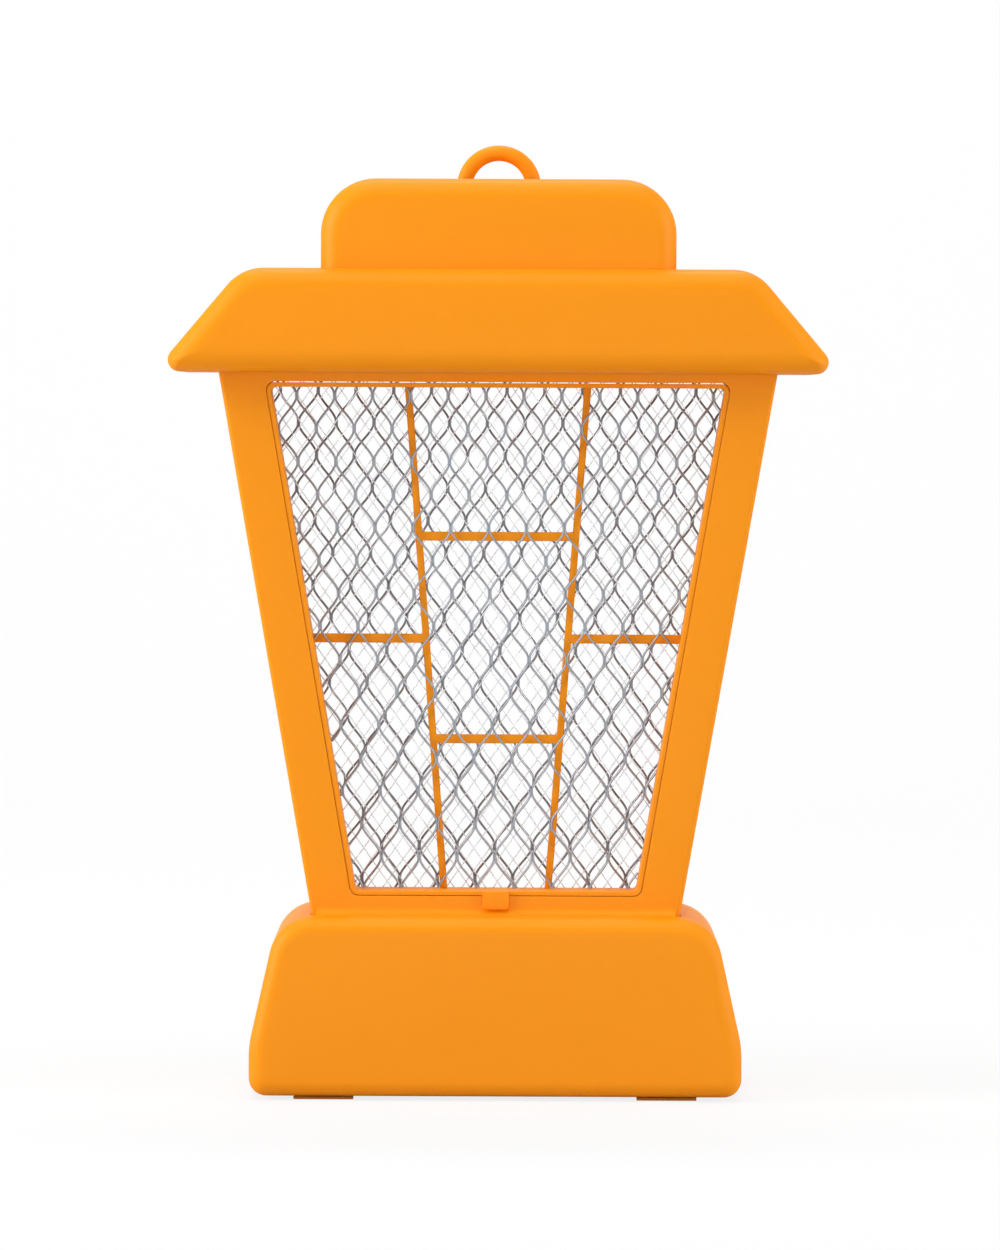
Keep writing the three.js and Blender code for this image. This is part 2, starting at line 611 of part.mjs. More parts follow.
// A thin rim with brick-pattern divider bars, two hinge stubs at the top and a finger tab at the bottom
function guardFrame() {
  const rimInner = insetCorners(guardOutline, GUARD_RIM);
  const rim = loft([
    { points: outlinePoints(guardOutline), y: GUARD_FRONT },
    { points: outlinePoints(insetCorners(guardOutline, GUARD_DRAFT)), y: GUARD_BACK },
  ]);
  let guard = rim.subtract(slab(rimInner, GUARD_FRONT - 1, GUARD_BACK + 1));
  for (const side of [-1, 1]) guard = guard.add(mullion(side));
  for (const z of MIDDLE_BARS) guard = guard.add(crossBar(-mullionX(z), mullionX(z), z));
  const edge = openingHalfWidth(SIDE_BAR_Z) - GUARD_RIM;
  guard = guard.add(crossBar(-edge, -mullionX(SIDE_BAR_Z), SIDE_BAR_Z));
  guard = guard.add(crossBar(mullionX(SIDE_BAR_Z), edge, SIDE_BAR_Z));
  const tip = openingHalfWidth(GUARD_PIVOT_Z) + GUARD_PIN_REACH;
  const pin = (x0, x1) => barAlongX(GUARD_PIVOT_Y, GUARD_PIVOT_Z, GUARD_PIN_RADIUS, x0, x1, 8);
  guard = guard.add(pin(-tip, -tip + GUARD_PIN_LENGTH)).add(pin(tip - GUARD_PIN_LENGTH, tip));
  const rimBottom = OPENING_BOTTOM + GAP;
  const rimTop = rimBottom + GUARD_RIM;
  const tabOutline = mirrored([
    [TAB_HALF_WIDTH, TAB_BOTTOM, 1.2],
    [TAB_HALF_WIDTH, rimTop, 0.3],
  ]);
  const tab = slab(tabOutline, TAB_FRONT, -FRAME_HALF_DEPTH - GAP);
  const bridge = box(-TAB_HALF_WIDTH, TAB_HALF_WIDTH, TAB_FRONT + 0.5, GUARD_FRONT + 1, rimBottom, rimTop - 0.1);
  return guard.add(tab).add(bridge);
}

// ---- Grids ----

// Diamonds on staggered rows inside the given outline, as one open lattice of prisms
function diamonds(outline, y, pitchX, pitchZ, strand, skew) {
  const slope = Math.hypot(pitchX, pitchZ);
  const halfX = (pitchX - (strand * slope) / pitchZ) / 2;
  const halfZ = (halfX * pitchZ) / pitchX;
  const positions = [];
  const index = [];
  const rows = Math.ceil((OPENING_TOP - OPENING_BOTTOM) / pitchZ) + 2;
  const columns = Math.ceil(OPENING_HALF_WIDTH_HIGH / pitchX) + 1;
  for (let row = 0; row < rows * 2; row++)
    for (let column = -columns; column <= columns; column++) {
      const z = OPENING_TOP + 2 - (row * pitchZ) / 2;
      const x = (column + (row % 2) / 2) * pitchX + (OPENING_TOP - z) * skew;
      if (Math.abs(x) > openingHalfWidth(z) + pitchX || z < OPENING_BOTTOM - pitchZ / 2) continue;
      const first = positions.length / 3;
      for (const depth of [y - SHEET, y + SHEET])
        positions.push(x, depth, z - halfZ, x + halfX, depth, z, x, depth, z + halfZ, x - halfX, depth, z);
      index.push(...DIAMOND_FACES.map((corner) => first + corner));
    }
  const geometry = new THREE.BufferGeometry();
  geometry.setAttribute("position", new THREE.Float32BufferAttribute(positions, 3));
  geometry.setIndex(index);
  return solidOf(geometry).intersect(slab(outline, y - 1, y + 1));
}

// A flat sheet whose solid border is as wide as the given margin
function gridSheet(outline, border, y, pitchX, pitchZ, strand, skew) {
  const sheet = slab(outline, y - SHEET / 2, y + SHEET / 2);
  return sheet.subtract(diamonds(insetCorners(outline, border), y, pitchX, pitchZ, strand, skew));
}

const guardGrid = () =>
  gridSheet(
    insetCorners(guardOutline, GUARD_RIM + GAP),
    GUARD_GRID_BORDER,
    GUARD_GRID_Y,
    COARSE_PITCH_X,
    COARSE_PITCH_Z,
    COARSE_STRAND,
    COARSE_SKEW,
  );

const liveGrid = () =>
  gridSheet(
    insetCorners(openingOutline, -LIVE_OVERLAP),
    LIVE_BORDER,
    0,
    LIVE_PITCH_X,
    LIVE_PITCH_Z,
    LIVE_STRAND,
    0,
  );

const rearGrid = () =>
  gridSheet(
    insetCorners(rearOpeningOutline, GAP),
    REAR_GRID_BORDER,
    REAR_GRID_Y,
    COARSE_PITCH_X,
    COARSE_PITCH_Z,
    COARSE_STRAND,
    -COARSE_SKEW,
  );

function rearRetainer() {
  const outline = insetCorners(rearOpeningOutline, GAP);
  const y0 = REAR_GRID_Y + SHEET / 2 + GAP;
  const y1 = y0 + RETAINER_DEPTH;
  return slab(outline, y0, y1).subtract(slab(insetCorners(outline, REAR_GRID_BORDER), y0 - 1, y1 + 1));
}

// ---- Battery bay ----

function cell(start) {
  const can = barAlongX(CELL_Y, CELL_Z, CELL_RADIUS, start, start + CELL_LENGTH, 24);
  const end = start + CELL_LENGTH;
  return can.add(barAlongX(CELL_Y, CELL_Z, CELL_NUB_RADIUS, end - 1, end + CELL_NUB_LENGTH));
}

// A trough over the cells, open underneath
function batteryHolder() {
  const clear = CELL_RADIUS + GAP;
  const floor = BASE_BOTTOM + WALL + GAP;
  const top = CELL_Z + clear;
  const front = CELL_Y - clear;
  const back = CELL_Y + clear;
  const outer = box(BAY_LEFT, BAY_RIGHT, front - BAY_WALL, back + BAY_WALL, floor, top + BAY_WALL);
  const inner = box(BAY_LEFT + BAY_WALL, BAY_RIGHT - BAY_WALL, front, back, floor - 1, top);
  return outer.subtract(inner);
}

const contactPlate = (x) =>
  box(
    x - CONTACT_THICKNESS / 2,
    x + CONTACT_THICKNESS / 2,
    CELL_Y - CONTACT_HALF_WIDTH,
    CELL_Y + CONTACT_HALF_WIDTH,
    CELL_Z - CONTACT_HALF_HEIGHT,
    CELL_Z + CONTACT_HALF_HEIGHT,
  );

// A tapering coil between the left contact and the first cell
function batterySpring(x0, x1) {
  const { turns, steps, wideRadius, narrowRadius, wireRadius } = SPRING;
  const points = Array.from({ length: steps + 1 }, (_, i) => {
    const share = i / steps;
    const turn = share * turns * 2 * Math.PI;
    const radius = THREE.MathUtils.lerp(wideRadius, narrowRadius, share);
    const x = THREE.MathUtils.lerp(x0, x1, share);
    return [x, CELL_Y + Math.cos(turn) * radius, CELL_Z + Math.sin(turn) * radius];
  });
  return tube(points, wireRadius, 6, steps);
}

// ---- Circuit ----

const behindBoard = BOARD_Y + BOARD_THICKNESS + GAP;

const circuitBoard = () =>
  box(-BOARD_HALF_LENGTH, BOARD_HALF_LENGTH, BOARD_Y, BOARD_Y + BOARD_THICKNESS, BOARD_BOTTOM, BOARD_TOP);

function transformerCore() {
  const { x, z, halfWidth, halfHeight, depth, limb } = TRANSFORMER;
  const y1 = behindBoard + depth;
  const outer = box(x - halfWidth, x + halfWidth, behindBoard, y1, z - halfHeight, z + halfHeight);
  const window = [halfWidth - limb, halfHeight - limb];
  return outer.subtract(box(x - window[0], x + window[0], behindBoard - 1, y1 + 1, z - window[1], z + window[1]));
}

function transformerCoil() {
  const { x, z, halfWidth, halfHeight, depth, limb } = TRANSFORMER;
  const half = [halfWidth - limb - GAP, halfHeight - limb - GAP];
  const outline = mirrored([
    [half[0], z - half[1], 1],
    [half[0], z + half[1], 1],
  ]).map(([cornerX, cornerZ, r]) => [cornerX + x, cornerZ, r]);
  return slab(outline, behindBoard, behindBoard + depth + 2);
}

function storageCapacitor() {
  const { left, right, bottom, top, radius, depth } = CAPACITOR;
  const outline = [
    [left, bottom, radius],
    [right, bottom, radius],
    [right, top, radius],
    [left, top, radius],
  ];
  return slab(outline, behindBoard, behindBoard + depth);
}

const bleedResistor = () =>
  barAlongX(behindBoard + RESISTOR.radius, RESISTOR.z, RESISTOR.radius, RESISTOR.left, RESISTOR.right);

// A round case with one flat side
function switchingTransistor() {
  const { x, z, radius, height, flat } = TRANSISTOR;
  const y1 = behindBoard + height;
  const beyondFlat = box(x - 2 * radius, x + 2 * radius, behindBoard - 1, y1 + 1, z + flat, z + 2 * radius);
  return barAlongY(x, z, radius, behindBoard, y1, 12).subtract(beyondFlat);
}

const switchRear = BODY_HALF_DEPTH - WALL - 2.2;

const switchBody = () =>
  box(SWITCH_X - 8, SWITCH_X + 10, behindBoard, switchRear, SWITCH_Z - 4, SWITCH_Z + 4);

// A thumb piece on a flange that stays behind the wall
function switchKnob() {
  const flange = box(-3.4, 3.4, 0, 1.4, -4, 4);
  const thumb = box(-THUMB_HALF_WIDTH, THUMB_HALF_WIDTH, 1, 3.7, -THUMB_HALF_HEIGHT, THUMB_HALF_HEIGHT);
  const groove = (x) => box(x - 0.35, x + 0.35, 3.2, 5, -3, 3);
  return flange.add(thumb).subtract(groove(-1.6)).subtract(groove(0)).subtract(groove(1.6));
}

function indicatorLed() {
  const tip = BODY_HALF_DEPTH - 0.6;
  const flangeEnd = BODY_HALF_DEPTH - WALL - GAP;
  const stem = barAlongY(LED_X, SWITCH_Z, LED_RADIUS, behindBoard, tip, 12);
  const flange = barAlongY(LED_X, SWITCH_Z, LED_FLANGE_RADIUS, flangeEnd - 1.1, flangeEnd, 12);
  return stem.add(flange);
}

// A sleeved wire from the top edge of the board up to the lower edge of a grid
function lead(x, gridY, gridEdge) {
  const startY = BOARD_Y + BOARD_THICKNESS / 2;
  const points = [
    [x, startY, BOARD_TOP + GAP],
    [x, startY - 1, BOARD_TOP + 5],
    [x, (startY + gridY) / 2, BOARD_TOP + 9],
    [x, gridY, gridEdge - 4],
    [x, gridY, gridEdge],
  ];
  return tube(points, LEAD_RADIUS, 8, 12);
}

// ---- Assembly ----

const lantern = new THREE.Group();

function place(name, material, solid, parent = lantern) {
  const mesh = new THREE.Mesh(geometryOf(solid), MATERIALS[material]);
  mesh.name = name;
  parent.add(mesh);
  return mesh;
}

place("base_front_shell", "shell", baseFrontShell());
place("base_rear_shell", "shell", baseRearShell());
place("roof_front_shell", "shell", roofFrontShell());
place("roof_rear_shell", "shell", roofRearShell());
place("frame_front_bezel", "shell", frameFrontBezel());
place("frame_rear_bezel", "shell", frameBezel(1, rearOpeningOutline, rearOpeningOutline));

place("guard_frame", "shell", guardFrame());
place("guard_grid", "steel", guardGrid());
place("live_grid", "live", liveGrid());
place("rear_grid", "steel", rearGrid());
place("rear_grid_retainer", "shell", rearRetainer());

const loopPivot = new THREE.Group();
loopPivot.position.set(0, 0, LOOP_PIVOT_Z);
lantern.add(loopPivot);
place("hanging_loop", "shell", hangingLoop(), loopPivot);

place("battery_door", "shell", batteryDoor());
place("battery_holder", "blackPlastic", batteryHolder());
const plateLeft = BAY_LEFT + BAY_WALL + GAP + CONTACT_THICKNESS / 2;
const plateRight = BAY_RIGHT - BAY_WALL - GAP - CONTACT_THICKNESS / 2;
const cellStep = CELL_LENGTH + CELL_NUB_LENGTH + GAP;
const secondStart = plateRight - CONTACT_THICKNESS / 2 - cellStep;
const firstStart = secondStart - cellStep;
place("battery_cell_left", "cell", cell(firstStart));
place("battery_cell_right", "cell", cell(secondStart));
place("battery_contact_left", "nickel", contactPlate(plateLeft));
place("battery_contact_right", "nickel", contactPlate(plateRight));
place("battery_spring", "nickel", batterySpring(plateLeft + 1.2, firstStart - 0.9));

place("circuit_board", "board", circuitBoard());
place("transformer_core", "ferrite", transformerCore());
place("transformer_coil", "copperTape", transformerCoil());
place("storage_capacitor", "film", storageCapacitor());
place("bleed_resistor", "ceramic", bleedResistor());
place("switching_transistor", "blackPlastic", switchingTransistor());
place("power_switch_body", "blackPlastic", switchBody());
place("indicator_led", "lens", indicatorLed());
const knob = place("power_switch_knob", "blackPlastic", switchKnob());
knob.position.set(SWITCH_X, switchRear + GAP, SWITCH_Z);

const liveEdge = OPENING_BOTTOM - LIVE_OVERLAP - GAP;
const rearLinerEdge = OPENING_BOTTOM - REAR_GROWTH - LINER - GAP;
place("live_grid_lead", "redWire", lead(LIVE_LEAD_X, 0, liveEdge));
place("guard_grid_lead", "blackWire", lead(GUARD_LEAD_X, REAR_GRID_Y, rearLinerEdge));

baseScrews.forEach((at, i) => place(`base_screw_${i + 1}`, "screw", screw(at, BODY_HALF_DEPTH - REAR_SINK)));
roofScrews.forEach((at, i) => {
  const seat = at.z > ROOF_TOP ? CAP_HALF_DEPTH - CAP_SINK : BODY_HALF_DEPTH - REAR_SINK;
  place(`roof_screw_${i + 1}`, "screw", screw(at, seat));
});
frameScrews.forEach((at, i) => place(`frame_screw_${i + 1}`, "screw", screw(at, FRAME_HALF_DEPTH - FRAME_SINK)));

[
  ["front_left", -FOOT_X, FRONT_FOOT_Y],
  ["front_right", FOOT_X, FRONT_FOOT_Y],
  ["rear_left", -FOOT_X, REAR_FOOT_Y],
  ["rear_right", FOOT_X, REAR_FOOT_Y],
].forEach(([name, x, y]) => place(`foot_pad_${name}`, "rubber", footPad(x, y)));

export default lantern;
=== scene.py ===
import json
import math
import bmesh
import bpy
import numpy as np
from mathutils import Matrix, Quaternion, Vector


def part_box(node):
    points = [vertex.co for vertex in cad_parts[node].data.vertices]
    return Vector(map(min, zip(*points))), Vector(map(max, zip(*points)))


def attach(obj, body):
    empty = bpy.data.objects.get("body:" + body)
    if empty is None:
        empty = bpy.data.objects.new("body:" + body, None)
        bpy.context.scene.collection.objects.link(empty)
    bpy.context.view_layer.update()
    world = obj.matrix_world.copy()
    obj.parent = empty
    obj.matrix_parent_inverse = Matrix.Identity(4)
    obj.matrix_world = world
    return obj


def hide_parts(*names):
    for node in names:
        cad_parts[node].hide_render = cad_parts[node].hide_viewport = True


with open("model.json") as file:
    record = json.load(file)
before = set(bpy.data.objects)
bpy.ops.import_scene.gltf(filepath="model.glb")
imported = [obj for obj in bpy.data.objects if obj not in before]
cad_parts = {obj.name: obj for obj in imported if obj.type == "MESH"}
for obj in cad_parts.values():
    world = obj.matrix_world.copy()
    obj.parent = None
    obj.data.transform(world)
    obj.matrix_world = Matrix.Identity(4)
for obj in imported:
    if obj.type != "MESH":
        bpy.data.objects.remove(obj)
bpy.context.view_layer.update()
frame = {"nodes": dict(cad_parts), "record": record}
nodes = frame["nodes"]
mm = 0.001
print("frame loaded:", len(nodes), "nodes")


# The two corners of a CAD node's box, in millimetres
def boxOf(node):
    low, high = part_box(node)
    return np.array(low) / mm, np.array(high) / mm


# Corners [x, z, radius], anticlockwise seen from the front. Every side moves in by inset, every corner
# becomes an arc that touches both its sides. inset may be an array: one ring comes back for each value.
def outline(corners, inset=0.0, arcPoints=14):
    corners = np.array(corners, float)
    inset = np.atleast_1d(np.asarray(inset, float))[:, None, None]
    place, radius = corners[:, :2], corners[:, 2]
    after = np.roll(place, -1, 0) - place
    after /= np.linalg.norm(after, axis=1, keepdims=True)
    before = np.roll(after, 1, 0)
    inAfter = np.stack([-after[:, 1], after[:, 0]], 1)
    inBefore = np.roll(inAfter, 1, 0)
    spread = 1 + (inBefore * inAfter).sum(1, keepdims=True)
    place = place[None] + inset * ((inBefore + inAfter) / spread)[None]
    radius = np.maximum(radius[None, :, None] - inset, 0.25)
    turn = np.arctan2(before[:, 0] * after[:, 1] - before[:, 1] * after[:, 0], (before * after).sum(1))
    start = place - before[None] * radius * np.tan(turn / 2)[None, :, None]
    centre = start + inBefore[None] * radius
    first = np.arctan2(-inBefore[:, 1], -inBefore[:, 0])
    angle = first[:, None] + turn[:, None] * np.linspace(0, 1, arcPoints)[None]
    spoke = np.stack([np.cos(angle), np.sin(angle)], -1)
    points = centre[:, :, None] + radius[:, :, None] * spoke[None]
    return points.reshape(len(points), -1, 2)


# Rings at their own heights in y, as points in space
def ringsAt(flatRings, y):
    y = np.broadcast_to(np.asarray(y, float)[:, None, None], flatRings.shape[:2] + (1,))
    return np.concatenate([flatRings[..., :1], y, flatRings[..., 1:]], -1)


# Four-cornered faces between each ring of points and the next
def quadsOf(ringCount, pointCount, closedRings=False, closedPoints=True):
    index = np.arange(ringCount * pointCount).reshape(ringCount, pointCount)
    far = np.roll(index, -1, 0)
    if not closedRings:
        index, far = index[:-1], far[:-1]
    side, farSide = np.roll(index, -1, 1), np.roll(far, -1, 1)
    quads = np.stack([index, side, farSide, far], -1)
    if not closedPoints:
        quads = quads[:, :-1]
    return quads.reshape(-1, 4)


# One closed skin through rings of points: open rings get a flat face at each end
def skinMesh(name, rings, closedRings=False):
    ringCount, pointCount = rings.shape[:2]
    faces = quadsOf(ringCount, pointCount, closedRings).tolist()
    if not closedRings:
        faces.append(list(range(pointCount))[::-1])
        faces.append(list(range((ringCount - 1) * pointCount, ringCount * pointCount)))
    return meshFrom(name, rings.reshape(-1, 3), faces)


# Points in millimetres and faces, made a mesh with its doubles merged and its faces turned outwards
def meshFrom(name, points, faces):
    mesh = bpy.data.meshes.new(name)
    mesh.from_pydata((np.asarray(points) * mm).tolist(), [], faces)
    work = bmesh.new()
    work.from_mesh(mesh)
    bmesh.ops.remove_doubles(work, verts=work.verts, dist=1e-7)
    bmesh.ops.recalc_face_normals(work, faces=work.faces)
    work.to_mesh(mesh)
    work.free()
    return mesh


def objectFrom(name, mesh):
    thing = bpy.data.objects.new(name, mesh)
    bpy.context.scene.collection.objects.link(thing)
    return thing


# Runs the solids of a list through a boolean, one after another, and keeps the result as a plain mesh
def combine(thing, solids, operation):
    for solid in solids:
        other = objectFrom("tool", solid)
        step = thing.modifiers.new("step", "BOOLEAN")
        step.operation = operation
        step.solver = "MANIFOLD"
        step.object = other
        graph = bpy.context.evaluated_depsgraph_get()
        made = bpy.data.meshes.new_from_object(thing.evaluated_get(graph))
        thing.modifiers.clear()
        thing.data = made
        bpy.data.objects.remove(other)
    return thing


def boxMesh(x0, x1, y0, y1, z0, z1):
    corners = [[x0, z0, 0.01], [x1, z0, 0.01], [x1, z1, 0.01], [x0, z1, 0.01]]
    return skinMesh("box", ringsAt(outline(corners, np.zeros(2), 2), [y0, y1]))


# A turned solid along Y: distances along the axis and radii, swept round
def turnedMesh(x, z, ys, radii, sides=32):
    angle = np.linspace(0, 2 * np.pi, sides, endpoint=False)
    radii = np.asarray(radii, float)[:, None]
    rings = np.stack([x + radii * np.cos(angle), radii * 0 + np.asarray(ys, float)[:, None] + 0 * angle,
                      z + radii * np.sin(angle)], -1)
    return skinMesh("turned", rings)


# A round rod along a path: a circle carried in the frame of the path's own direction
def rodMesh(name, path, radius, sides=16, flat=(0, 1, 0)):
    path = np.asarray(path, float)
    along = np.gradient(path, axis=0)
    along /= np.linalg.norm(along, axis=1, keepdims=True)
    across = np.cross(along, np.asarray(flat, float))
    across /= np.linalg.norm(across, axis=1, keepdims=True)
    up = np.cross(across, along)
    angle = np.linspace(0, 2 * np.pi, sides, endpoint=False)
    radius = np.broadcast_to(np.asarray(radius, float), len(path))[:, None, None]
    rings = path[:, None] + radius * (across[:, None] * np.cos(angle)[None, :, None]
                                      + up[:, None] * np.sin(angle)[None, :, None])
    return skinMesh(name, rings)


def smoothByAngle(thing, degrees=32):
    mesh = thing.data
    mesh.polygons.foreach_set("use_smooth", np.ones(len(mesh.polygons), bool))
    mesh.set_sharp_from_angle(angle=math.radians(degrees))


# Shades a piece, gives it its material, says which body it rides on and hides the CAD nodes that it replaces
def finishPiece(thing, body, material, replaced=(), degrees=32):
    smoothByAngle(thing, degrees)
    thing.data.materials.clear()
    thing.data.materials.append(material)
    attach(thing, body)
    if replaced:
        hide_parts(*replaced)
    return thing


# A colour written in hexadecimal, as the linear values that shaders take
def linear(hexColour):
    parts = [int(hexColour[i:i + 2], 16) / 255 for i in (1, 3, 5)]
    return [p / 12.92 if p <= 0.04045 else ((p + 0.055) / 1.055) ** 2.4 for p in parts] + [1.0]


def addNode(tree, kind, settings=None, **links):
    node = tree.nodes.new(kind)
    for key, value in (settings or {}).items():
        if key in node.inputs:
            node.inputs[key].default_value = value
        else:
            setattr(node, key, value)
    for key, source in links.items():
        tree.links.new(source, node.inputs[key.replace("_", " ")])
    return node


def startMaterial(name):
    material = bpy.data.materials.new(name)
    material.use_nodes = True
    tree = material.node_tree
    shader = next(n for n in tree.nodes if n.type == "BSDF_PRINCIPLED")
    place = addNode(tree, "ShaderNodeTexCoord").outputs["Object"]
    return material, tree, shader, place


# A colour that drifts between two shades with slow noise, a roughness that drifts with it and a fine bump
def plainFinish(name, look):
    material, tree, shader, place = startMaterial(name)
    for key, value in look.get("shader", {}).items():
        shader.inputs[key].default_value = value
    cloud = addNode(tree, "ShaderNodeTexNoise", {"Scale": 1 / (look["cloudMm"] * mm), "Detail": 3.0},
                    Vector=place)
    ramp = addNode(tree, "ShaderNodeMix", {"data_type": "RGBA"})    # its two colours are inputs 6 and 7
    ramp.inputs[6].default_value = linear(look["colours"][0])
    ramp.inputs[7].default_value = linear(look["colours"][1])
    tree.links.new(cloud.outputs["Fac"], ramp.inputs[0])
    tree.links.new(ramp.outputs[2], shader.inputs["Base Color"])
    low, high = look["roughness"]
    spread = {"From Min": 0.3, "From Max": 0.7, "To Min": low, "To Max": high}
    rough = addNode(tree, "ShaderNodeMapRange", spread, Value=cloud.outputs["Fac"])
    tree.links.new(rough.outputs["Result"], shader.inputs["Roughness"])
    grain = addNode(tree, "ShaderNodeTexNoise", {"Scale": 1 / (look["grainMm"] * mm), "Detail": 2.0},
                    Vector=place)
    bump = addNode(tree, "ShaderNodeBump", {"Strength": look["bump"], "Distance": look["bumpMm"] * mm},
                   Height=grain.outputs["Fac"])
    tree.links.new(bump.outputs["Normal"], shader.inputs["Normal"])
    return material


# Injection-moulded ABS: satin orange with faint flow clouds and a very fine orange-peel skin
mouldedAbs = plainFinish("moulded_abs_orange", {
    "colours": ("#EA8C0B", "#EC8F0E"), "roughness": (0.4, 0.48), "cloudMm": 60, "grainMm": 0.8,
    "bump": 0.08, "bumpMm": 0.05, "shader": {"IOR": 1.53, "Metallic": 0.0, "Specular IOR Level": 0.12}})
# Expanded steel sheet with a dull zinc coat: mid grey, slightly mottled
zincSteel = plainFinish("expanded_zinc_steel", {
    "colours": ("#888E96", "#A9AFB6"), "roughness": (0.48, 0.62), "cloudMm": 3, "grainMm": 0.3,
    "bump": 0.2, "bumpMm": 0.03, "shader": {"Metallic": 1.0}})
# Bright drawn aluminium wire
aluminiumWire = plainFinish("drawn_aluminium_wire", {
    "colours": ("#C3C6CB", "#D3D6DA"), "roughness": (0.3, 0.45), "cloudMm": 4, "grainMm": 0.3,
    "bump": 0.1, "bumpMm": 0.02, "shader": {"Metallic": 1.0}})
# Zinc-plated screw steel: cool and slightly streaky
platedScrew = plainFinish("zinc_plated_screw_steel", {
    "colours": ("#9A9C9E", "#B4B5B4"), "roughness": (0.25, 0.4), "cloudMm": 1.5, "grainMm": 0.25,
    "bump": 0.15, "bumpMm": 0.02, "shader": {"Metallic": 1.0}})
# Soft orange rubber of the feet: the shell's shade, a little deeper, and quite matt
footRubber = plainFinish("nitrile_rubber_foot", {
    "colours": ("#CE7A0C", "#D57F10"), "roughness": (0.8, 0.95), "cloudMm": 4, "grainMm": 0.4,
    "bump": 0.3, "bumpMm": 0.05, "shader": {"IOR": 1.52}})
# Black nylon for the switch and the cell bay: fine spark-eroded grain
blackNylon = plainFinish("black_nylon", {
    "colours": ("#18181A", "#222225"), "roughness": (0.45, 0.6), "cloudMm": 6, "grainMm": 0.35,
    "bump": 0.25, "bumpMm": 0.03, "shader": {"IOR": 1.53}})
# Glass-epoxy circuit board under green lacquer
boardLacquer = plainFinish("epoxy_board_lacquer", {
    "colours": ("#1F5A30", "#2C7440"), "roughness": (0.3, 0.4), "cloudMm": 5, "grainMm": 0.5,
    "bump": 0.1, "bumpMm": 0.02, "shader": {"IOR": 1.5}})
# Sintered ferrite: dark grey stone-like surface
ferrite = plainFinish("sintered_ferrite", {
    "colours": ("#2F3033", "#404145"), "roughness": (0.6, 0.75), "cloudMm": 2, "grainMm": 0.3,
    "bump": 0.3, "bumpMm": 0.03, "shader": {"IOR": 2.0}})
# Yellow polyester tape round the coil
coilTape = plainFinish("polyester_coil_tape", {
    "colours": ("#D9A41E", "#E7BC45"), "roughness": (0.25, 0.4), "cloudMm": 4, "grainMm": 0.6,
    "bump": 0.15, "bumpMm": 0.03, "shader": {"IOR": 1.58}})
# Dipped epoxy on the capacitor
dippedEpoxy = plainFinish("dipped_epoxy", {
    "colours": ("#6E1B12", "#86281B"), "roughness": (0.2, 0.32), "cloudMm": 4, "grainMm": 1.2,
    "bump": 0.25, "bumpMm": 0.05, "shader": {"IOR": 1.55}})
# Pale blue lacquer on a ceramic resistor
resistorLacquer = plainFinish("resistor_lacquer", {
    "colours": ("#7FA6C6", "#95B8D2"), "roughness": (0.35, 0.5), "cloudMm": 2, "grainMm": 0.4,
    "bump": 0.15, "bumpMm": 0.02, "shader": {"IOR": 1.5}})
# Red tinted epoxy lens
redLens = plainFinish("red_epoxy_lens", {
    "colours": ("#C81818", "#E02A24"), "roughness": (0.08, 0.14), "cloudMm": 3, "grainMm": 1,
    "bump": 0.02, "bumpMm": 0.02, "shader": {"IOR": 1.53, "Transmission Weight": 0.35}})
# Plain printed jacket on a cell: satin dark grey film
cellJacket = plainFinish("cell_jacket_film", {
    "colours": ("#2F3338", "#3C4148"), "roughness": (0.22, 0.32), "cloudMm": 12, "grainMm": 1,
    "bump": 0.05, "bumpMm": 0.02, "shader": {"IOR": 1.5}})
# Nickel plate on the contacts and the spring
nickelPlate = plainFinish("nickel_plate", {
    "colours": ("#BDB9B0", "#D0CCC2"), "roughness": (0.18, 0.3), "cloudMm": 3, "grainMm": 0.3,
    "bump": 0.1, "bumpMm": 0.02, "shader": {"Metallic": 1.0}})
# PVC sleeves of the two leads
redSleeve = plainFinish("red_pvc_sleeve", {
    "colours": ("#A81E1A", "#BE2A24"), "roughness": (0.4, 0.5), "cloudMm": 4, "grainMm": 0.5,
    "bump": 0.1, "bumpMm": 0.02, "shader": {"IOR": 1.53}})
blackSleeve = plainFinish("black_pvc_sleeve", {
    "colours": ("#1B1B1C", "#262627"), "roughness": (0.4, 0.5), "cloudMm": 4, "grainMm": 0.5,
    "bump": 0.1, "bumpMm": 0.02, "shader": {"IOR": 1.53}})
print("materials made")

# Sizes in millimetres, shared by the moulded shells
body = {"front": -30.0, "back": 30.0, "seam": 12.0, "gap": 0.3, "wall": 2.0, "edge": 0.35}
rearSeam = body["seam"] + body["gap"]


# Corners of a right half, followed by the same on the left, in the order that goes round
def mirrored(rightHalf):
    return rightHalf + [[-x, z, r] for x, z, r in reversed(rightHalf)]


# Half of a hollow body. Its skin starts as the flat outer face, turns round the rim, runs to the seam,
# turns in over a small edge there and comes back inside to a flat inner face. Round a quarter turn the
# outline's inset is the radius less its sine part, and the run along y is the radius less its cosine part.
def hollowHalf(corners, faceY, seamY, rim, wall, edge, steps=10):
    quarter = np.linspace(0, np.pi / 2, steps)
    depth = abs(seamY - faceY)
    inner = rim - wall
    inset = np.concatenate([rim * (1 - np.sin(quarter)), edge * (1 - np.cos(quarter)),
                            wall - edge * (1 - np.sin(quarter)), wall + inner * (1 - np.sin(quarter[::-1]))])
    run = np.concatenate([rim * (1 - np.cos(quarter)), depth - edge * (1 - np.sin(quarter)),
                          depth - edge * (1 - np.cos(quarter)), wall + inner * (1 - np.cos(quarter[::-1]))])
    y = faceY + run * np.sign(seamY - faceY)
    return skinMesh("half", ringsAt(outline(corners, inset), y))


def shellHalf(shape, faceY, seamY):
    return hollowHalf(shape["outline"], faceY, seamY, shape["rim"], body["wall"], body["edge"])


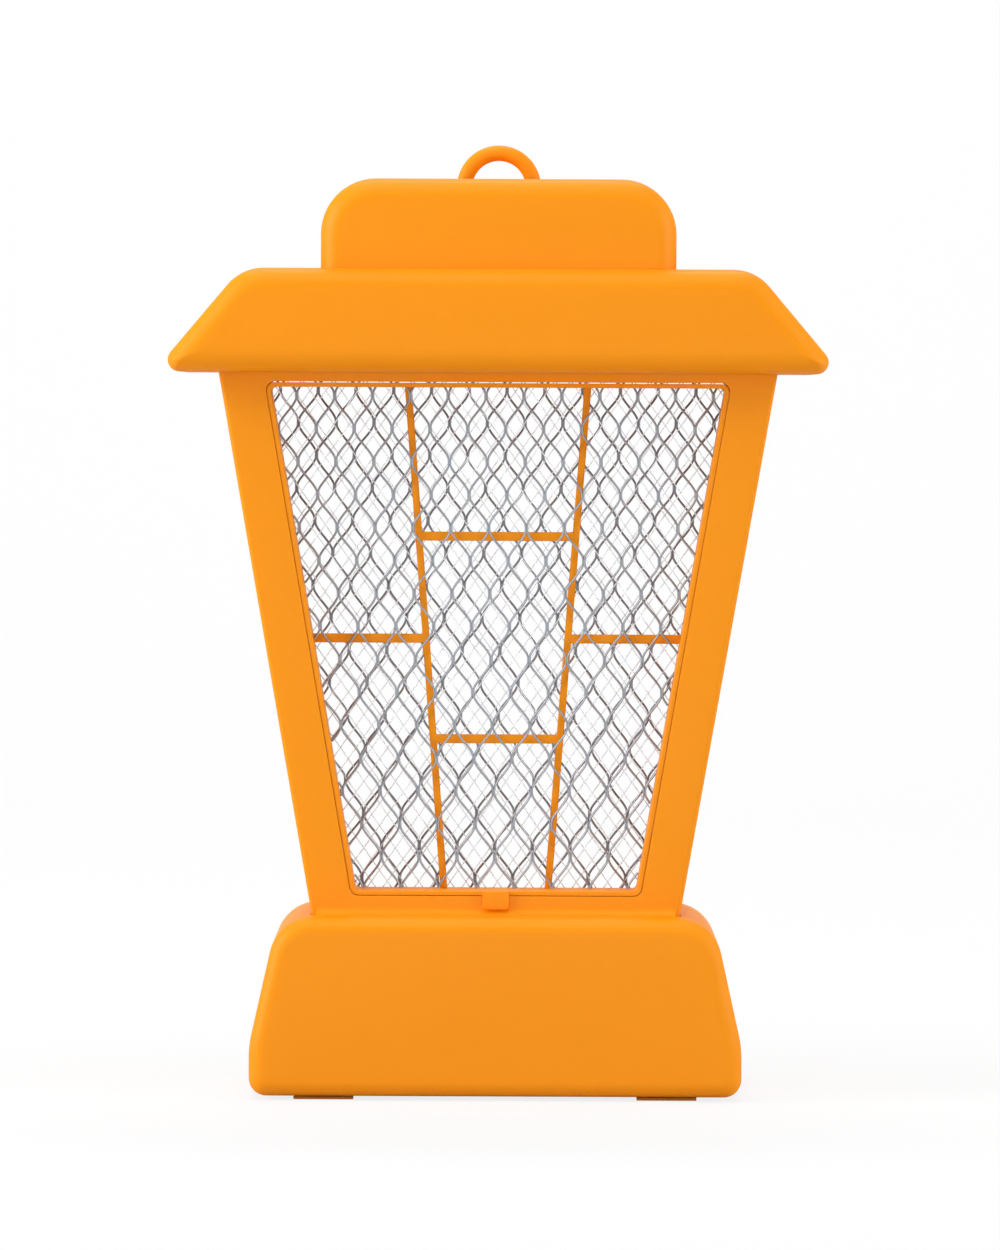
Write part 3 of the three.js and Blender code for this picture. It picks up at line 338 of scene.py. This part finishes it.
base = {
    "outline": mirrored([[66.0, 1.0, 4.8], [66.0, 14.4, 30.0], [58.3, 49.0, 12.0]]),
    "rim": 4.2, "screwX": 53.0, "screwZ": 36.5, "sink": 7.0,
}
screwHole = {"mouth": 3.4, "chamfer": 0.6, "chamferDepth": 0.4, "through": 0.2, "post": 4.4}
frameShape = {"bottom": 42.0, "top": 201.0, "lean": 0.1744, "halfLow": 48.3, "halfDepth": 19.0,
              "rim": 1.2, "socketSpare": 1.0}


# Half width of the frame at height z: its half width at the bottom plus lean times the rise
def frameHalf(z):
    return frameShape["halfLow"] + (z - frameShape["bottom"]) * frameShape["lean"]


def frameCorners(low, high, radius=1.0):
    return mirrored([[frameHalf(low), low, radius], [frameHalf(high), high, radius]])


# The room that the frame takes in the base and in the roof, a gap larger than the frame all round
def socketMesh():
    reach = frameShape["halfDepth"] + body["gap"]
    spare = frameShape["socketSpare"]
    corners = frameCorners(frameShape["bottom"] - spare, frameShape["top"] + spare)
    return skinMesh("socket", ringsAt(outline(corners, np.full(2, -body["gap"])), [-reach, reach]))


# A blind hole from the back with a flared mouth, as deep as the screw head is sunk
def counterbore(x, z, rearY, sink):
    mouth = screwHole["mouth"]
    ys = [rearY - sink - 0.1, rearY - sink, rearY - screwHole["chamferDepth"], rearY + screwHole["through"]]
    return turnedMesh(x, z, ys, [mouth - 0.1, mouth, mouth, mouth + screwHole["chamfer"]])


def post(x, z, y0, y1, radius=screwHole["post"]):
    return turnedMesh(x, z, [y0, y1], [radius, radius])


doorGap = {"sides": 0.3, "hinge": 0.7, "below": -2.0, "above": 4.0}
baseFront = objectFrom("base_front", shellHalf(base, body["front"], body["seam"]))
doorLow, doorHigh = boxOf("battery_door")
doorway = boxMesh(doorLow[0] - doorGap["sides"], doorHigh[0] + doorGap["sides"],
                  doorLow[1] - doorGap["hinge"], doorHigh[1] + doorGap["sides"],
                  doorGap["below"], doorGap["above"])
combine(baseFront, [socketMesh(), doorway], "DIFFERENCE")
finishPiece(baseFront, "housing", mouldedAbs, ["base_front_shell"])

lampHole = {"depths": [24, 29.6, 30.4], "radii": [1.8, 1.8, 2.4]}
switchWindow = {"left": 3.3, "right": 8.3, "halfHeight": 2.8, "from": 26.0, "to": 32.0}
baseRear = objectFrom("base_rear", shellHalf(base, body["back"], rearSeam))
basePosts = [post(s * base["screwX"], base["screwZ"], body["seam"] + 1, body["back"] - 1) for s in (-1, 1)]
combine(baseRear, basePosts, "UNION")
switchLow, switchHigh = boxOf("power_switch_knob")
ledLow, ledHigh = boxOf("indicator_led")
ledX, ledZ = (ledLow[0] + ledHigh[0]) / 2, (ledLow[2] + ledHigh[2]) / 2
switchX = (switchLow[0] + switchHigh[0]) / 2
baseCuts = [counterbore(s * base["screwX"], base["screwZ"], body["back"], base["sink"]) for s in (-1, 1)]
baseCuts.append(turnedMesh(ledX, ledZ, lampHole["depths"], lampHole["radii"]))
baseCuts.append(boxMesh(switchX - switchWindow["left"], switchX + switchWindow["right"],
                        switchWindow["from"], switchWindow["to"],
                        ledZ - switchWindow["halfHeight"], ledZ + switchWindow["halfHeight"]))
baseCuts.append(socketMesh())
combine(baseRear, baseCuts, "DIFFERENCE")
finishPiece(baseRear, "housing", mouldedAbs, ["base_rear_shell"])
print("base made")

roof = {
    "outline": mirrored([[91.9, 194.6, 3.2], [68.5, 222.4, 12.7]]), "rim": 5.7,
    "screws": [(64.0, 208.5)], "sink": 7.0,
}
cap = {
    "outline": mirrored([[47.6, 214.4, 1.0], [47.6, 246.5, 14.8]]), "rim": 5.7,
    "front": -24.0, "back": 24.0, "screws": [(34.0, 234.0)], "sink": 4.0,
}
loop = {"radius": 9.3, "rod": 2.1, "pivotZ": 242.0, "archZ": 244.8, "slotHalf": 5.6, "slotSpare": 0.5,
        "slotBottom": 243.0, "slotTop": 250.0, "barPast": 1.5, "barShare": 0.98}


def roofHalf(name, faceY, capY, seamY):
    piece = objectFrom(name, shellHalf(roof, faceY, seamY))
    return combine(piece, [shellHalf(cap, capY, seamY)], "UNION")


roofFront = roofHalf("roof_front", body["front"], cap["front"], body["seam"])
slotReach = loop["rod"] + body["gap"]
slotInner, slotOuter = loop["radius"] - slotReach - loop["slotSpare"], loop["radius"] + slotReach
slots = [boxMesh(low, high, -loop["slotHalf"], loop["slotHalf"], loop["slotBottom"], loop["slotTop"])
         for low, high in ((-slotOuter, -slotInner), (slotInner, slotOuter))]
combine(roofFront, [socketMesh()] + slots, "DIFFERENCE")
finishPiece(roofFront, "housing", mouldedAbs, ["roof_front_shell"])

roofRear = roofHalf("roof_rear", body["back"], cap["back"], rearSeam)
roofPosts = [(s * x, z, body["back"], roof["sink"]) for x, z in roof["screws"] for s in (-1, 1)]
roofPosts += [(s * x, z, cap["back"], cap["sink"]) for x, z in cap["screws"] for s in (-1, 1)]
combine(roofRear, [post(x, z, body["seam"] + 1, back - 1) for x, z, back, sink in roofPosts], "UNION")
combine(roofRear, [counterbore(*at) for at in roofPosts] + [socketMesh()], "DIFFERENCE")
finishPiece(roofRear, "housing", mouldedAbs, ["roof_rear_shell"])
print("roof made")

opening = {"bottom": 54.2, "top": 192.2, "halfLow": 39.0, "halfHigh": 62.6, "radius": 2.4, "growth": 2.2,
           "liner": 1.6, "linerEnd": 0.5, "relief": 1.8, "edge": 0.05}
frameScrew = {"post": 4.2, "from": 1.0, "to": 18.0, "sink": 4.0}


def openingHalf(z):
    share = (z - opening["bottom"]) / (opening["top"] - opening["bottom"])
    return opening["halfLow"] + share * (opening["halfHigh"] - opening["halfLow"])


openingCorners = mirrored([[opening["halfLow"], opening["bottom"], opening["radius"]],
                           [opening["halfHigh"], opening["top"], opening["radius"]]])


# Half of the frame, as one skin that closes on itself: side wall, rounded rim, front wall across to the mouth
# of the opening, the liner of the wider well behind it, and back along the inside of each. Both rims are
# quarter turns, with inset and run as in the shells.
def bezelMesh(sign, mouth, well):
    rim, edge, wall, liner = frameShape["rim"], opening["edge"], body["wall"], opening["liner"]
    depth = frameShape["halfDepth"] - body["gap"] / 2
    linerDepth = depth - opening["linerEnd"]
    quarter = np.linspace(0, np.pi / 2, 8)
    outer = frameCorners(frameShape["bottom"], frameShape["top"], 1.6)
    rings = [outline(outer, np.concatenate([[0.0], rim * (1 - np.cos(quarter))])),
             outline(mouth, np.concatenate([-edge * (1 - np.sin(quarter)), [0.0]])),
             outline(well, [0.0, 0.0, -liner, -liner]), outline(outer, [wall, wall])]
    run = np.concatenate([[depth], rim * (1 - np.sin(quarter)), edge * (1 - np.cos(quarter)), [wall],
                          [wall, linerDepth, linerDepth, wall], [wall, depth]])
    y = sign * (frameShape["halfDepth"] - run)
    return skinMesh("bezel", ringsAt(np.concatenate(rings), y), closedRings=True)


# The same corners moved out: sideways by one amount, up and down by another
def grown(corners, sideways, upright):
    middle = (opening["bottom"] + opening["top"]) / 2
    return [[x + math.copysign(sideways, x), z + math.copysign(upright, z - middle), r]
            for x, z, r in corners]


wellCorners = grown(openingCorners, opening["relief"], 0.0)
rearCorners = grown(openingCorners, opening["growth"], opening["growth"])
frameFront = objectFrom("frame_front", bezelMesh(-1, openingCorners, wellCorners))
finishPiece(frameFront, "housing", mouldedAbs, ["frame_front_bezel"])

frameRear = objectFrom("frame_rear", bezelMesh(1, rearCorners, rearCorners))
screwBoxes = [boxOf(f"frame_screw_{i}") for i in range(1, 5)]
screwSpots = [((low[0] + high[0]) / 2, (low[2] + high[2]) / 2) for low, high in screwBoxes]
framePosts = [post(x, z, frameScrew["from"], frameScrew["to"], frameScrew["post"]) for x, z in screwSpots]
combine(frameRear, framePosts, "UNION")
combine(frameRear, [counterbore(x, z, frameShape["halfDepth"], frameScrew["sink"]) for x, z in screwSpots],
        "DIFFERENCE")
finishPiece(frameRear, "housing", mouldedAbs, ["frame_rear_bezel"])

# A hollow curve moulded along the foot of the frame, where its front face runs out on to the base
cove = {"radius": 2.5, "foot": 49.0, "sink": 0.15, "short": 1.2}


# Profile in y and z: a quarter circle, bowed in, from the frame's face down to the base, then closed behind
# and below. It is carried straight along x.
def coveMesh():
    face, radius, sink = -frameShape["halfDepth"], cove["radius"], cove["sink"]
    turn = np.linspace(0, np.pi / 2, 14)
    y = np.concatenate([face - radius + radius * np.cos(turn), [face - radius, face + sink, face + sink]])
    z = cove["foot"] + np.concatenate([radius - radius * np.sin(turn), [-sink, -sink, radius]])
    half = frameHalf(cove["foot"]) - cove["short"]
    x = np.array([-half, half])
    return skinMesh("cove", np.stack(np.broadcast_arrays(x[:, None], y[None], z[None]), -1))


footCove = objectFrom("frame_foot_cove", coveMesh())
finishPiece(footCove, "housing", mouldedAbs)
print("frame made")

guard = {
    "rim": 1.2, "front": -18.8, "back": -6.6, "gap": 0.16, "topGap": 0.3, "draft": 0.85, "softRim": 0.25,
    "barHeight": 2.4, "barWidth": 1.9, "barDepth": 2.4, "barSoft": 0.35,
    "mullionHigh": 24.3, "mullionLow": 14.0, "middleBars": (95.9, 150.6), "sideBar": 123.0,
    "intoBottom": 1.2, "intoTop": 0.8, "intoSide": 1.0,
}
tab = {"half": 3.6, "bottom": 50.6, "front": -20.4, "soft": 0.3, "lowRadius": 1.2, "highRadius": 0.4,
       "bridgeInset": 0.1, "bridgeFrom": 0.5, "bridgeInto": 1.0}
guardLow = [opening["halfLow"] - guard["gap"], opening["bottom"] + guard["gap"], opening["radius"]]
guardHigh = [opening["halfHigh"] - guard["gap"], opening["top"] - guard["topGap"], opening["radius"]]
guardCorners = mirrored([guardLow, guardHigh])


# The rim as one closed skin: over its rounded front, back along its inner side and forward along its outer
# side, which draws in by draft so that it can swing out past the mouth
def guardRimMesh():
    sharp, soft = opening["edge"], guard["softRim"]
    quarter = np.linspace(0, np.pi / 2, 5)
    rim, depth = guard["rim"], guard["back"] - guard["front"]
    inset = np.concatenate([sharp * (1 - np.sin(quarter[::-1])), rim - soft * (1 - np.sin(quarter)),
                            [rim, guard["draft"]]])
    run = np.concatenate([sharp * (1 - np.cos(quarter[::-1])), soft * (1 - np.cos(quarter)), [depth, depth]])
    return skinMesh("rim", ringsAt(outline(guardCorners, inset), guard["front"] + run), closedRings=True)


def mullionX(z):
    share = (z - opening["bottom"]) / (opening["top"] - opening["bottom"])
    return guard["mullionLow"] + share * (guard["mullionHigh"] - guard["mullionLow"])


# A flat bar with rounded front and back edges, its four corners given in x and z
def barMesh(corners):
    soft, depth = guard["barSoft"], guard["barDepth"]
    corners = [[x, z, 0.1] for x, z in corners]
    quarter = np.linspace(0, np.pi / 2, 4)
    inset = np.concatenate([soft * (1 - np.sin(quarter)), soft * (1 - np.sin(quarter[::-1]))])
    run = np.concatenate([soft * (1 - np.cos(quarter)), depth - soft * (1 - np.cos(quarter[::-1]))])
    return skinMesh("bar", ringsAt(outline(corners, inset, 3), guard["back"] - depth + run))


def mullionMesh(side):
    low, high = opening["bottom"] + guard["intoBottom"], opening["top"] - guard["intoTop"]
    half, xLow, xHigh = guard["barWidth"] / 2, side * mullionX(low), side * mullionX(high)
    return barMesh([[xLow - half, low], [xLow + half, low], [xHigh + half, high], [xHigh - half, high]])


def crossMesh(x0, x1, z):
    half = guard["barHeight"] / 2
    return barMesh([[x0, z - half], [x1, z - half], [x1, z + half], [x0, z + half]])


# The finger tab in front of the frame, and the bridge that joins it to the rim
def tabMeshes():
    half, top = tab["half"], opening["bottom"] + guard["gap"] + guard["rim"]
    corners = mirrored([[half, tab["bottom"], tab["lowRadius"]], [half, top, tab["highRadius"]]])
    soft, y0, y1 = tab["soft"], tab["front"], -frameShape["halfDepth"] - body["gap"]
    quarter = np.linspace(0, np.pi / 2, 5)
    inset = np.concatenate([soft * (1 - np.sin(quarter)), [0.0]])
    y = np.concatenate([y0 + soft * (1 - np.cos(quarter)), [y1]])
    tongue = skinMesh("tab", ringsAt(outline(corners, inset), y))
    bridgeHalf = half - tab["bridgeInset"]
    bridge = boxMesh(-bridgeHalf, bridgeHalf, y0 + tab["bridgeFrom"], guard["front"] + tab["bridgeInto"],
                     top - guard["rim"] + 0.05, top - tab["bridgeInset"])
    return [tongue, bridge]


guardPiece = objectFrom("front_guard", guardRimMesh())
guardParts = [mullionMesh(s) for s in (-1, 1)]
guardParts += [crossMesh(-mullionX(z), mullionX(z), z) for z in guard["middleBars"]]
sideEdge = openingHalf(guard["sideBar"]) - guard["intoSide"]
sideMullion = mullionX(guard["sideBar"])
guardParts += [crossMesh(x0, x1, guard["sideBar"]) for x0, x1 in ((-sideEdge, -sideMullion),
                                                                  (sideMullion, sideEdge))]
guardParts += tabMeshes()
combine(guardPiece, guardParts, "UNION")
finishPiece(guardPiece, "front_guard", mouldedAbs, ["guard_frame"])
print("guard made")

# Both sheets of expanded metal: sizes of a strand, then where each sheet lies
coarse = {"pitchZ": 17.76, "width": 0.52, "thick": 0.66, "knuckle": 0.36, "ease": 0.45, "lean": 0.45,
          "touch": 0.42, "ringsPerPitch": 22, "scanPoints": 1200, "shortestRun": 10}
guardSheet = {"y": -10.2, "firstX": -48.9, "firstZ": 179.5, "skew": 0.023, "pitchX": 10.2,
              "pastRim": 0.1, "intoRim": 1.0}
rearSheet = {"y": 10.2, "firstX": -54.4, "firstZ": 181.1, "skew": -0.023, "pitchX": 10.3, "short": 0.3}


# Expanded metal. A strand's x is the first strand's, plus half a pitch for each strand in between, plus a
# drift that grows down the sheet, plus or minus the swing times a wave. Its neighbours wave the other way, so
# that they touch in the knuckles. The wave stays flat over a knuckle at each peak and falls straight from one
# to the next, eased at both ends by three times the square less twice the cube of the way down.
# limits holds the sheet's half width at its foot and at its head, then the heights of the two.
def expandedMetal(name, limits, sheet):
    limitLow, limitHigh, low, high = limits
    half = sheet["pitchX"] / 2
    swing = half / 2 - coarse["width"] * coarse["touch"]
    count = int(limitHigh / half) + 6
    number = np.arange(-count, 3 * count)

    def strandX(z, j):
        phase = 2 * np.pi * (z - sheet["firstZ"]) / coarse["pitchZ"]
        flat = coarse["knuckle"]
        fromPeak = np.abs((phase + np.pi) % (2 * np.pi) - np.pi)
        t = np.clip((fromPeak - flat) / (np.pi - 2 * flat), 0, 1)
        wave = 1 - 2 * (t + coarse["ease"] * (t * t * (3 - 2 * t) - t))
        side = np.where(j % 2 == 0, -1.0, 1.0)
        drift = (sheet["firstZ"] - z) * sheet["skew"]
        return sheet["firstX"] + (j + 0.5) * half + drift + side * swing * wave

    # each strand is kept where it lies inside the sheet's own outline, as one run or several
    fineZ = np.linspace(high, low, coarse["scanPoints"])
    limit = np.interp(-fineZ, [-high, -low], [limitHigh, limitLow])
    inside = np.abs(strandX(fineZ[None], number[:, None])) < limit[None]
    change = np.diff(np.pad(inside.astype(int), ((0, 0), (1, 1))), axis=1)
    row, first = np.nonzero(change == 1)
    last = np.nonzero(change == -1)[1] - 1
    keep = last - first > coarse["shortestRun"]
    row, first, last = number[row[keep]], fineZ[first[keep]], fineZ[last[keep]]
    rings = int((high - low) / coarse["pitchZ"] * coarse["ringsPerPitch"])
    z = first[:, None] + (last - first)[:, None] * np.linspace(0, 1, rings)[None]
    x = strandX(z, row[:, None])
    slope = (strandX(z + 0.01, row[:, None]) - strandX(z - 0.01, row[:, None])) / 0.02
    length = np.sqrt(1 + slope ** 2)
    across = np.stack([1 / length, np.zeros_like(x), -slope / length], -1)
    # a strand turns about its own length as it runs sideways, as slit and stretched sheet does
    lean = (coarse["lean"] * 2 * np.clip(slope, -0.5, 0.5))[..., None]
    outward = np.array([0.0, 1.0, 0.0])
    wide = across * np.cos(lean) + outward * np.sin(lean)
    deep = outward * np.cos(lean) - across * np.sin(lean)
    # the strand's section: an oblong with its four corners cut off
    corner = np.array([[-1, -0.5], [-0.6, -1], [0.6, -1], [1, -0.5],
                       [1, 0.5], [0.6, 1], [-0.6, 1], [-1, 0.5]]) / 2
    points = (np.stack([x, np.full_like(x, sheet["y"]), z], -1)[:, :, None]
              + wide[:, :, None] * corner[None, None, :, :1] * coarse["width"]
              + deep[:, :, None] * corner[None, None, :, 1:] * coarse["thick"])
    return wiresMesh(name, points)


# Many open rods in one mesh, each a run of rings with a flat end; points is rods x rings x corners x 3
def wiresMesh(name, points):
    rods, rings, corners = points.shape[:3]
    one = quadsOf(rings, corners)
    quads = (one[None] + (np.arange(rods) * rings * corners)[:, None, None]).reshape(-1, 4)
    start = np.arange(rods)[:, None] * rings * corners + np.arange(corners)[None]
    ends = np.concatenate([start[:, ::-1], start + (rings - 1) * corners])
    return meshFrom(name, points.reshape(-1, 3), quads.tolist() + ends.tolist())


# the guard's strands end inside its rim, the rear ones in the frame round the opening
guardReach, rimIn = guard["rim"] + guardSheet["pastRim"], guardSheet["intoRim"]
guardLimits = (guardLow[0] - guardReach, guardHigh[0] - guardReach, guardLow[1] + rimIn, guardHigh[1] - rimIn)
guardGrid = objectFrom("guard_grid_wires", expandedMetal("guard_grid", guardLimits, guardSheet))
finishPiece(guardGrid, "front_guard", zincSteel, ["guard_grid"], 50)
rearReach = opening["growth"] - rearSheet["short"]
rearLimits = (opening["halfLow"] + rearReach, opening["halfHigh"] + rearReach,
              opening["bottom"] - rearReach, opening["top"] + rearReach)
rearGrid = objectFrom("rear_grid_wires", expandedMetal("rear_grid", rearLimits, rearSheet))
finishPiece(rearGrid, "housing", zincSteel, ["rear_grid"], 50)

fine = {"pitchX": 4.28, "pitchZ": 6.05, "wire": 0.26, "weave": 0.12, "past": 0.5, "span": 220,
        "scanPoints": 2500, "shortestRun": 6, "sides": 6}


# Straight wires in two directions across the opening, each clipped where it meets a side
def liveWires():
    low, high = opening["bottom"] - fine["past"], opening["top"] + fine["past"]
    angle = np.linspace(0, 2 * np.pi, fine["sides"], endpoint=False)
    radius = fine["wire"] / 2
    groups = []
    for direction in (-1, 1):
        start = np.arange(-fine["span"], fine["span"], fine["pitchX"])
        t = np.linspace(0, 1, fine["scanPoints"])
        z = high + (low - high) * t
        x = start[:, None] + direction * (high - z)[None] * fine["pitchX"] / fine["pitchZ"]
        inside = np.abs(x) < (openingHalf(z) + fine["past"])[None]
        some = inside.sum(1) > fine["shortestRun"]
        first = np.argmax(inside, 1)[some]
        last = len(t) - 1 - np.argmax(inside[:, ::-1], 1)[some]
        x, rows = x[some], np.arange(some.sum())
        ends = np.stack([np.stack([x[rows, first], z[first]], -1), np.stack([x[rows, last], z[last]], -1)], 1)
        run = ends[:, 1] - ends[:, 0]
        side = np.stack([-run[:, 1], run[:, 0]], -1) / np.linalg.norm(run, axis=1, keepdims=True)
        flat = ends[:, :, None] + side[:, None, None] * (np.cos(angle) * radius)[None, None, :, None]
        y = direction * fine["weave"] + np.sin(angle) * radius
        y = np.broadcast_to(y[None, None, :, None], flat.shape[:3] + (1,))
        groups.append(np.concatenate([flat[..., :1], y, flat[..., 1:]], -1))
    return wiresMesh("live_grid", np.concatenate(groups))


liveGrid = objectFrom("live_grid_wires", liveWires())
finishPiece(liveGrid, "housing", aluminiumWire, ["live_grid"], 50)
print("grids made")

# The hanging ring: two short legs up from the bar it turns on, and a half circle between them
legs = np.linspace(loop["pivotZ"], loop["archZ"], 4, endpoint=False)
turn = np.linspace(0, np.pi, 40)
rightLeg = np.stack([np.full(4, loop["radius"]), np.zeros(4), legs], -1)
arch = np.stack([loop["radius"] * np.cos(turn), 0 * turn, loop["archZ"] + loop["radius"] * np.sin(turn)], -1)
leftLeg = rightLeg[::-1] * [-1, 1, 1]
loopPath = np.concatenate([rightLeg, arch, leftLeg])
loopPiece = objectFrom("hanging_ring", rodMesh("ring", loopPath, loop["rod"], 24))
barHalf = loop["radius"] + loop["barPast"]
barPath = np.stack([np.linspace(-barHalf, barHalf, 8), np.zeros(8), np.full(8, loop["pivotZ"])], -1)
combine(loopPiece, [rodMesh("bar", barPath, loop["rod"] * loop["barShare"], 24)], "UNION")
finishPiece(loopPiece, "loop", mouldedAbs, ["hanging_loop"])
print("loop made")

# The material of each slot, given to the CAD pieces that stay as they are
finishes = {
    "shell": mouldedAbs, "guard_steel": zincSteel, "live_aluminium": aluminiumWire,
    "screw_steel": platedScrew, "rubber": footRubber, "black_plastic": blackNylon,
    "board": boardLacquer, "ferrite": ferrite, "coil_tape": coilTape, "film": dippedEpoxy,
    "ceramic": resistorLacquer, "lens": redLens, "cell": cellJacket, "nickel": nickelPlate,
    "red_wire": redSleeve, "black_wire": blackSleeve,
}
for part in frame["record"]["subparts"]:
    kept = nodes[part["node"]]
    kept.data.materials.clear()
    kept.data.materials.append(finishes[part["material_slot"]])
print("finishes given")

# In metres: the camera, then the paper's sweep and how bright it looks, then the lamps
studio = {"distance": 1.6, "eyeX": 0.0008, "roll": 0.0045, "eyeZ": 0.187, "middleZ": 0.1275,
          "frameHeight": 0.3327, "sensor": 36, "near": 0.01, "far": 20, "tent": 0.05, "mirror": 0.8}
sweep = {"front": -3.0, "bendFrom": 1.0, "bend": 1.2, "top": 4.0, "halfWidth": 4.0,
         "colour": "#C8C8C8", "roughness": 0.9, "glow": 1.05, "glowShare": 0.78}
lamps = [    # name, place, target, size and watts
    ("top_light", (0, -0.5, 1.4), (0, 0, 0.1), (1.4, 1.0), 11),
    ("left_light", (-1.35, -0.4, 0.6), (0, 0, 0.13), (1.0, 1.0), 23),
    ("right_light", (1.35, -0.4, 0.5), (0, 0, 0.13), (1.0, 1.0), 14),
    ("low_light", (0, -2.3, 0.12), (0, 0, 0.15), (1.6, 0.2), 9),
    ("backdrop_light", (0, 0.9, 2.0), (0, 2.0, 0.3), (1.6, 0.6), 34),
]


# White paper on the ground that curves up behind the lantern. Seen directly it glows a little, so that it is
# nearly white and the shadow on it is faint.
def makeFloor():
    turn = np.linspace(0, np.pi / 2, 24)
    start, bend = sweep["bendFrom"], sweep["bend"]
    run = np.concatenate([[sweep["front"]], start + bend * np.sin(turn), [start + bend]]) / mm
    rise = np.concatenate([[0.0], bend - bend * np.cos(turn), [sweep["top"]]]) / mm
    side = np.array([-sweep["halfWidth"], sweep["halfWidth"]]) / mm
    points = np.stack(np.broadcast_arrays(side[None], run[:, None], rise[:, None]), -1)
    quads = quadsOf(len(run), 2, closedPoints=False)
    floor = objectFrom("floor", meshFrom("floor", points.reshape(-1, 3), quads.tolist()))
    smoothByAngle(floor, 60)
    material, tree, shader = startMaterial("matt_white_paper")[:3]
    shader.inputs["Base Color"].default_value = linear(sweep["colour"])
    shader.inputs["Roughness"].default_value = sweep["roughness"]
    glow = addNode(tree, "ShaderNodeEmission", {"Strength": sweep["glow"]})
    rays = addNode(tree, "ShaderNodeLightPath")
    share = addNode(tree, "ShaderNodeMath", {"operation": "MULTIPLY"})
    share.inputs[1].default_value = sweep["glowShare"]
    tree.links.new(rays.outputs["Is Camera Ray"], share.inputs[0])
    mix(tree, share.outputs[0], shader, glow, tree.nodes["Material Output"])
    floor.data.materials.append(material)


# A share of one shader over another, into the surface of an output
def mix(tree, share, under, over, output):
    node = addNode(tree, "ShaderNodeMixShader")
    tree.links.new(share, node.inputs[0])
    tree.links.new(under.outputs[0], node.inputs[1])
    tree.links.new(over.outputs[0], node.inputs[2])
    tree.links.new(node.outputs[0], output.inputs["Surface"])


def softbox(name, place, target, size, power):
    light = bpy.data.lights.new(name, "AREA")
    light.shape = "RECTANGLE"
    light.size, light.size_y = size
    light.energy = power
    lamp = bpy.data.objects.new(name, light)
    lamp.location = place
    lamp.rotation_mode = "QUATERNION"
    lamp.rotation_quaternion = (Vector(target) - Vector(place)).to_track_quat("-Z", "Y")
    bpy.context.scene.collection.objects.link(lamp)


makeFloor()
world = bpy.data.worlds.new("studio")
bpy.context.scene.world = world
world.use_nodes = True
tent = world.node_tree
tentShade = tent.nodes["Background"]
tentShade.inputs["Color"].default_value = (1, 1, 1, 1)
rays = addNode(tent, "ShaderNodeLightPath")
# dim for plain light, brighter in reflections so that the bare metal has something to mirror
strength = addNode(tent, "ShaderNodeMapRange", {"To Min": studio["tent"], "To Max": studio["mirror"]},
                   Value=rays.outputs["Is Glossy Ray"])
tent.links.new(strength.outputs["Result"], tentShade.inputs["Strength"])
paper = addNode(tent, "ShaderNodeBackground", {"Color": (1, 1, 1, 1)})    # what shows behind the lantern
mix(tent, rays.outputs["Is Camera Ray"], tentShade, paper, tent.nodes["World Output"])
for lamp in lamps:
    softbox(*lamp)

lensData = bpy.data.cameras.new("front_camera")
lensData.sensor_width = studio["sensor"]
lensData.lens = studio["sensor"] * studio["distance"] / studio["frameHeight"]
lensData.clip_start, lensData.clip_end = studio["near"], studio["far"]
camera = bpy.data.objects.new("front_camera", lensData)
camera.location = (studio["eyeX"], body["front"] * mm - studio["distance"], studio["eyeZ"])
nod = math.atan2(studio["middleZ"] - studio["eyeZ"], studio["distance"])
camera.rotation_mode = "QUATERNION"
camera.rotation_quaternion = Quaternion((1, 0, 0), math.pi / 2 + nod) @ Quaternion((0, 0, 1), studio["roll"])
bpy.context.scene.collection.objects.link(camera)
bpy.context.scene.camera = camera
bpy.context.scene.view_settings.view_transform = "Standard"
print("studio made")
